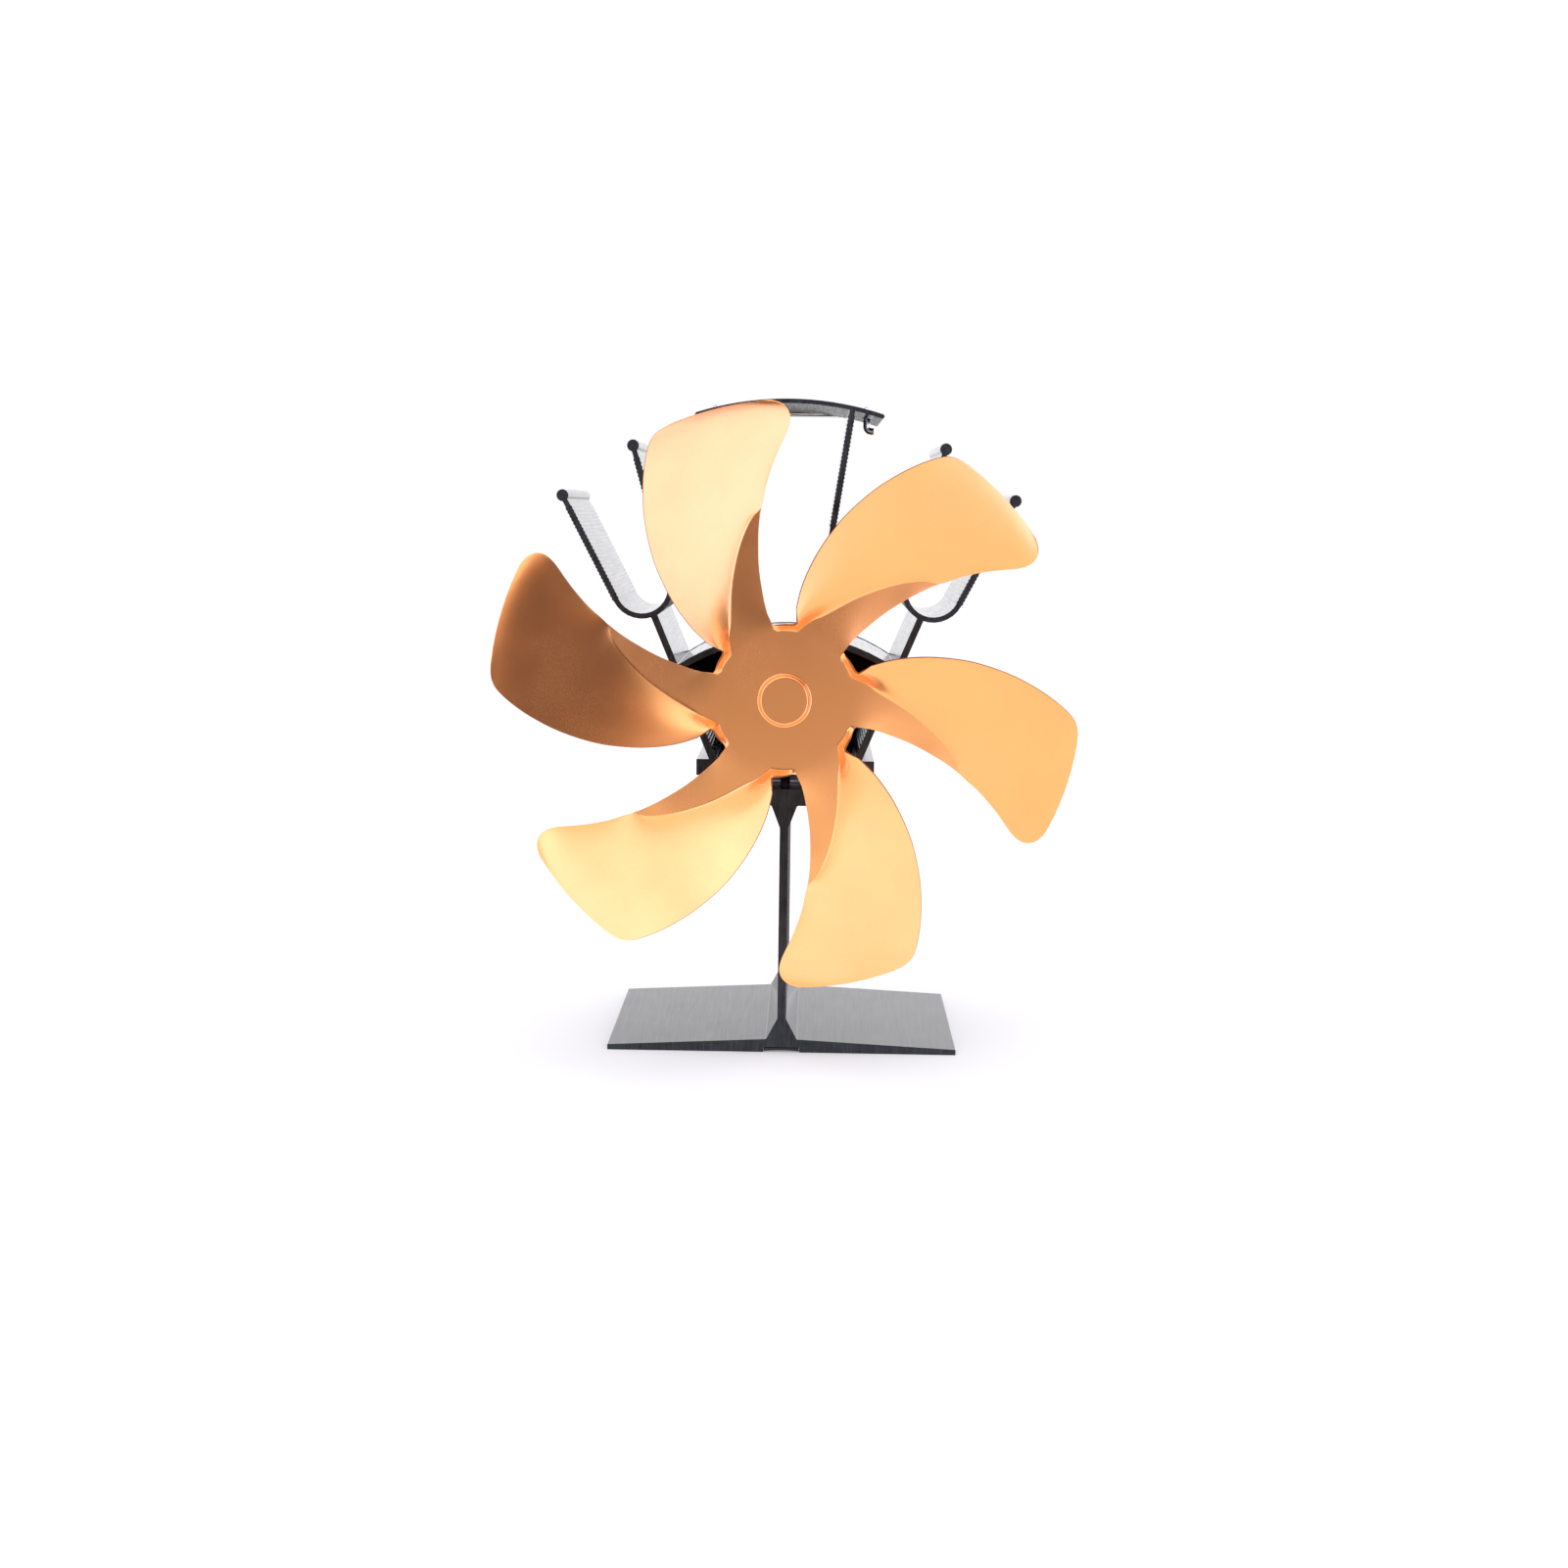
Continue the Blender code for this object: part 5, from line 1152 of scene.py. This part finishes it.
@dataclass
class Leads:
    """The motor's two leads, with routes in x, y behind the base's front and z above the block."""

    wire_radius: float = 0.00085
    sides: int = 16
    block_top: float = 0.0965
    red_route: Rows = (
        (0.0075, 0.0240, 0.0231), (0.0075, 0.0285, 0.0231), (0.0070, 0.0325, 0.0241),
        (0.0045, 0.0385, 0.0276), (-0.0010, 0.0440, 0.0297), (-0.0072, 0.0485, 0.0289),
        (-0.0128, 0.0515, 0.0262), (-0.0166, 0.0540, 0.0222), (-0.0174, 0.0565, 0.0160),
        (-0.0158, 0.0590, 0.0100), (-0.0140, 0.0604, 0.0050), (-0.0134, 0.0609, 0.0005),
        (-0.0134, 0.0606, -0.0050), (-0.0134, 0.0592, -0.0067), (-0.0134, 0.0575, -0.0071))
    black_route: Rows = (
        (-0.0075, 0.0240, 0.0231), (-0.0075, 0.0285, 0.0230), (-0.0082, 0.0325, 0.0222),
        (-0.0105, 0.0380, 0.0188),
        (-0.0135, 0.0440, 0.0142), (-0.0162, 0.0505, 0.0100), (-0.0172, 0.0570, 0.0072),
        (-0.0172, 0.0602, 0.0040), (-0.0172, 0.0609, 0.0000), (-0.0172, 0.0606, -0.0050),
        (-0.0172, 0.0592, -0.0067), (-0.0172, 0.0575, -0.0071))

    def build(self) -> None:
        """Sweep both leads along their routes."""
        base_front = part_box("base_extrusion")[0].y
        tree = wire_tree(True)
        for colour, route, finish in (("red", self.red_route, RED_LEAD),
                                      ("black", self.black_route, BLACK_LEAD)):
            points = [Vector((x, base_front + y, self.block_top + z)) for x, y, z in route]
            item = line_object(f"{colour}_motor_lead", points)
            tree.run(item, {"Radius": self.wire_radius, "Step": self.wire_radius,
                            "Sides": self.sides, "Material": finish.material()})
            smooth(item, SHARP_ANGLE)
            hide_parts(f"wire_{colour}")
            show(item, BODY, finish)


# How much green and blue a warm pane loses
WARM_GREEN_LOSS = 0.4
WARM_BLUE_LOSS = 0.5


@dataclass(frozen=True)
class Pane:
    """A soft-edged round pane or gap of the studio's tent.

    Its azimuth counts from the front to the right. It has its level up to the inner angle from
    its middle and fades out up to the outer angle, all in degrees. A warmth of one tints it like
    a lamp-lit room behind the tent, a chill raises its blue like daylight, and zeros leave it white.
    """

    azimuth: float
    elevation: float
    inner: float
    outer: float
    level: float
    warmth: float = 0.0
    chill: float = 0.0

    def add_to(self, tree: NodeTree, place: NodeSocket, light: NodeSocket) -> NodeSocket:
        """Lay the pane over the light that the tent has so far.

        Args:
            tree: The world's node tree.
            place: The direction that is looked up.
            light: The colour of the light so far.

        Returns:
            The light with the pane.
        """
        turn = math.radians(self.azimuth)
        rise = math.radians(self.elevation)
        middle = (math.sin(turn) * math.cos(rise), -math.cos(turn) * math.cos(rise), math.sin(rise))
        near = add_node(tree, "ShaderNodeVectorMath", {0: place, 1: middle}, operation="DOT_PRODUCT")
        share = add_node(tree, "ShaderNodeMapRange",
                         {"Value": near.outputs["Value"],
                          "From Min": math.cos(math.radians(self.outer)),
                          "From Max": math.cos(math.radians(self.inner))},
                         interpolation_type="SMOOTHSTEP")
        green = self.level * (1 - WARM_GREEN_LOSS * self.warmth)
        blue = self.level * (1 - WARM_BLUE_LOSS * self.warmth) * (1 + self.chill)
        mixed = add_node(tree, "ShaderNodeMix",
                         {"Factor": share.outputs[0], MIX_FROM: light,
                          MIX_TO: (self.level, green, blue, 1.0)}, data_type="RGBA")
        return mixed.outputs[MIXED]


@dataclass(frozen=True)
class Softbox:
    """A square softbox, with the length of its side in metres and its power in watts."""

    name: str
    place: tuple[float, float, float]
    side: float
    power: float

    def hang(self, aim: Vector) -> None:
        """Hang the softbox so that it looks at a point and shows in no reflection.

        Args:
            aim: The point.
        """
        data = bpy.data.lights.new(self.name, "AREA")
        data.size = self.side
        data.energy = self.power
        item = new_object(self.name, data)
        item.location = self.place
        item.visible_glossy = False
        item.rotation_euler = (aim - Vector(self.place)).to_track_quat("-Z", "Y").to_euler()


@dataclass
class Studio:
    """The floor, the soft studio light and the camera at the photograph's angle."""

    camera_place: tuple[float, float, float] = (0.0085, -0.6420, 0.1782)
    yaw: float = -0.8
    pitch: float = 8.09
    roll: float = 0.76
    lens: float = 44.75
    sensor: float = 36.0
    nearest: float = 0.01
    floor_half: float = 6.0
    floor_colour: str = "#C8C8C8"
    floor_roughness: float = 0.9
    floor_glow: float = 0.2
    background: str = "#FFFFFF"
    aim_height: float = 0.11
    tent_level: float = 1.32
    softboxes: tuple[Softbox, ...] = (
        Softbox("key_right", (0.75, -0.95, 0.35), 0.7, 4.5),
        Softbox("overhead", (0.0, 0.1, 1.2), 0.9, 4.0),
        Softbox("fill_left", (-0.95, -0.60, 0.30), 0.7, 2.0))
    panes: tuple[Pane, ...] = (
        Pane(180, 10, 60, 90, 1.5, chill=0.03), Pane(142, 5, 12, 22, 2.3),
        Pane(184, 38, 14, 22, 0.15, 0.6), Pane(212, 20, 9, 17, 0.15, 0.6),
        Pane(180, -23, 15, 24, 0.1),
        Pane(38, -5, 17, 25, 2.1, chill=0.65), Pane(74, -5, 10, 20, 0.45),
        Pane(-28, 16, 7, 21, 2.3, chill=0.4), Pane(-38, -8, 12, 20, 1.75, chill=0.25),
        Pane(-2, -1, 9, 18, 0.62, 0.5), Pane(-12, 0, 4, 11, 0.12, 1.0),
        Pane(0, 6, 6, 11, 0.08, 1.0),
        Pane(0, 90, 30, 50, 1.8, chill=0.12), Pane(14, 24, 15, 22, 0.6, 1.0),
        Pane(14, 20, 10, 14, 0.08, 1.0), Pane(37, 31, 10, 16, 0.09, 1.0))

    def add_camera(self) -> None:
        """Place the camera as it stood for the photograph."""
        turn, tilt, roll = (math.radians(angle) for angle in (-self.yaw, 90 - self.pitch, self.roll))
        data = bpy.data.cameras.new("photograph")
        data.lens = self.lens
        data.sensor_width = self.sensor
        data.clip_start = self.nearest
        item = new_object("photograph", data)
        item.matrix_world = (Matrix.Translation(self.camera_place) @ Matrix.Rotation(turn, 4, "Z")
                             @ Matrix.Rotation(tilt, 4, "X") @ Matrix.Rotation(roll, 4, "Z"))
        bpy.context.scene.camera = item

    def add_floor(self) -> None:
        """Lay a plain pale floor that keeps the object's shadow."""
        shape = bmesh.new()
        corners = ((-1, -1), (1, -1), (1, 1), (-1, 1))
        shape.faces.new([shape.verts.new((x * self.floor_half, y * self.floor_half, 0.0))
                         for x, y in corners])
        mesh = mesh_from(shape, "floor")
        material = bpy.data.materials.new("matt_white_floor")
        material.use_nodes = True
        tree = material.node_tree
        path = add_node(tree, "ShaderNodeLightPath")
        seen = add_node(tree, "ShaderNodeMath",
                        {0: path.outputs["Is Camera Ray"], 1: path.outputs["Is Glossy Ray"]},
                        operation="MAXIMUM")
        glow = add_node(tree, "ShaderNodeMath", {0: seen.outputs[0], 1: self.floor_glow},
                        operation="MULTIPLY")
        feed(tree, tree.nodes["Principled BSDF"],
             {"Base Color": linear(self.floor_colour), "Roughness": self.floor_roughness,
              "Specular IOR Level": 0.0, "Emission Color": linear(self.background),
              "Emission Strength": glow.outputs[0]})
        mesh.materials.append(material)
        floor = new_object("floor", mesh)
        floor.visible_glossy = False

    def add_world(self) -> None:
        """Light the object from a tent with bright panes and dark gaps, plain white to the camera."""
        world = bpy.data.worlds.new("studio")
        bpy.context.scene.world = world
        world.use_nodes = True
        tree = world.node_tree
        place = add_node(tree, "ShaderNodeTexCoord").outputs["Generated"]
        light = add_node(tree, "ShaderNodeRGB").outputs[0]
        light.default_value = (self.tent_level, self.tent_level, self.tent_level, 1.0)
        for pane in self.panes:
            light = pane.add_to(tree, place, light)
        path = add_node(tree, "ShaderNodeLightPath")
        seen = add_node(tree, "ShaderNodeMix",
                        {"Factor": path.outputs["Is Camera Ray"], MIX_FROM: light,
                         MIX_TO: linear(self.background)}, data_type="RGBA")
        feed(tree, tree.nodes["Background"], {"Color": seen.outputs[MIXED], "Strength": 1.0})

    def build(self) -> None:
        """Set up the whole studio."""
        self.add_camera()
        self.add_floor()
        self.add_world()
        for softbox in self.softboxes:
            softbox.hang(Vector((0.0, 0.0, self.aim_height)))
        bpy.context.scene.view_settings.view_transform = "Standard"


def main() -> None:
    """Build every sub-assembly of the fan in order."""
    logging.basicConfig(level=logging.INFO, format="%(message)s")
    for part in (Studio(), Extrusions(), Module(), RearCover(), Motor(), Rotor(), Handle(), Leads()):
        part.build()


if __name__ == "__main__":
    main()
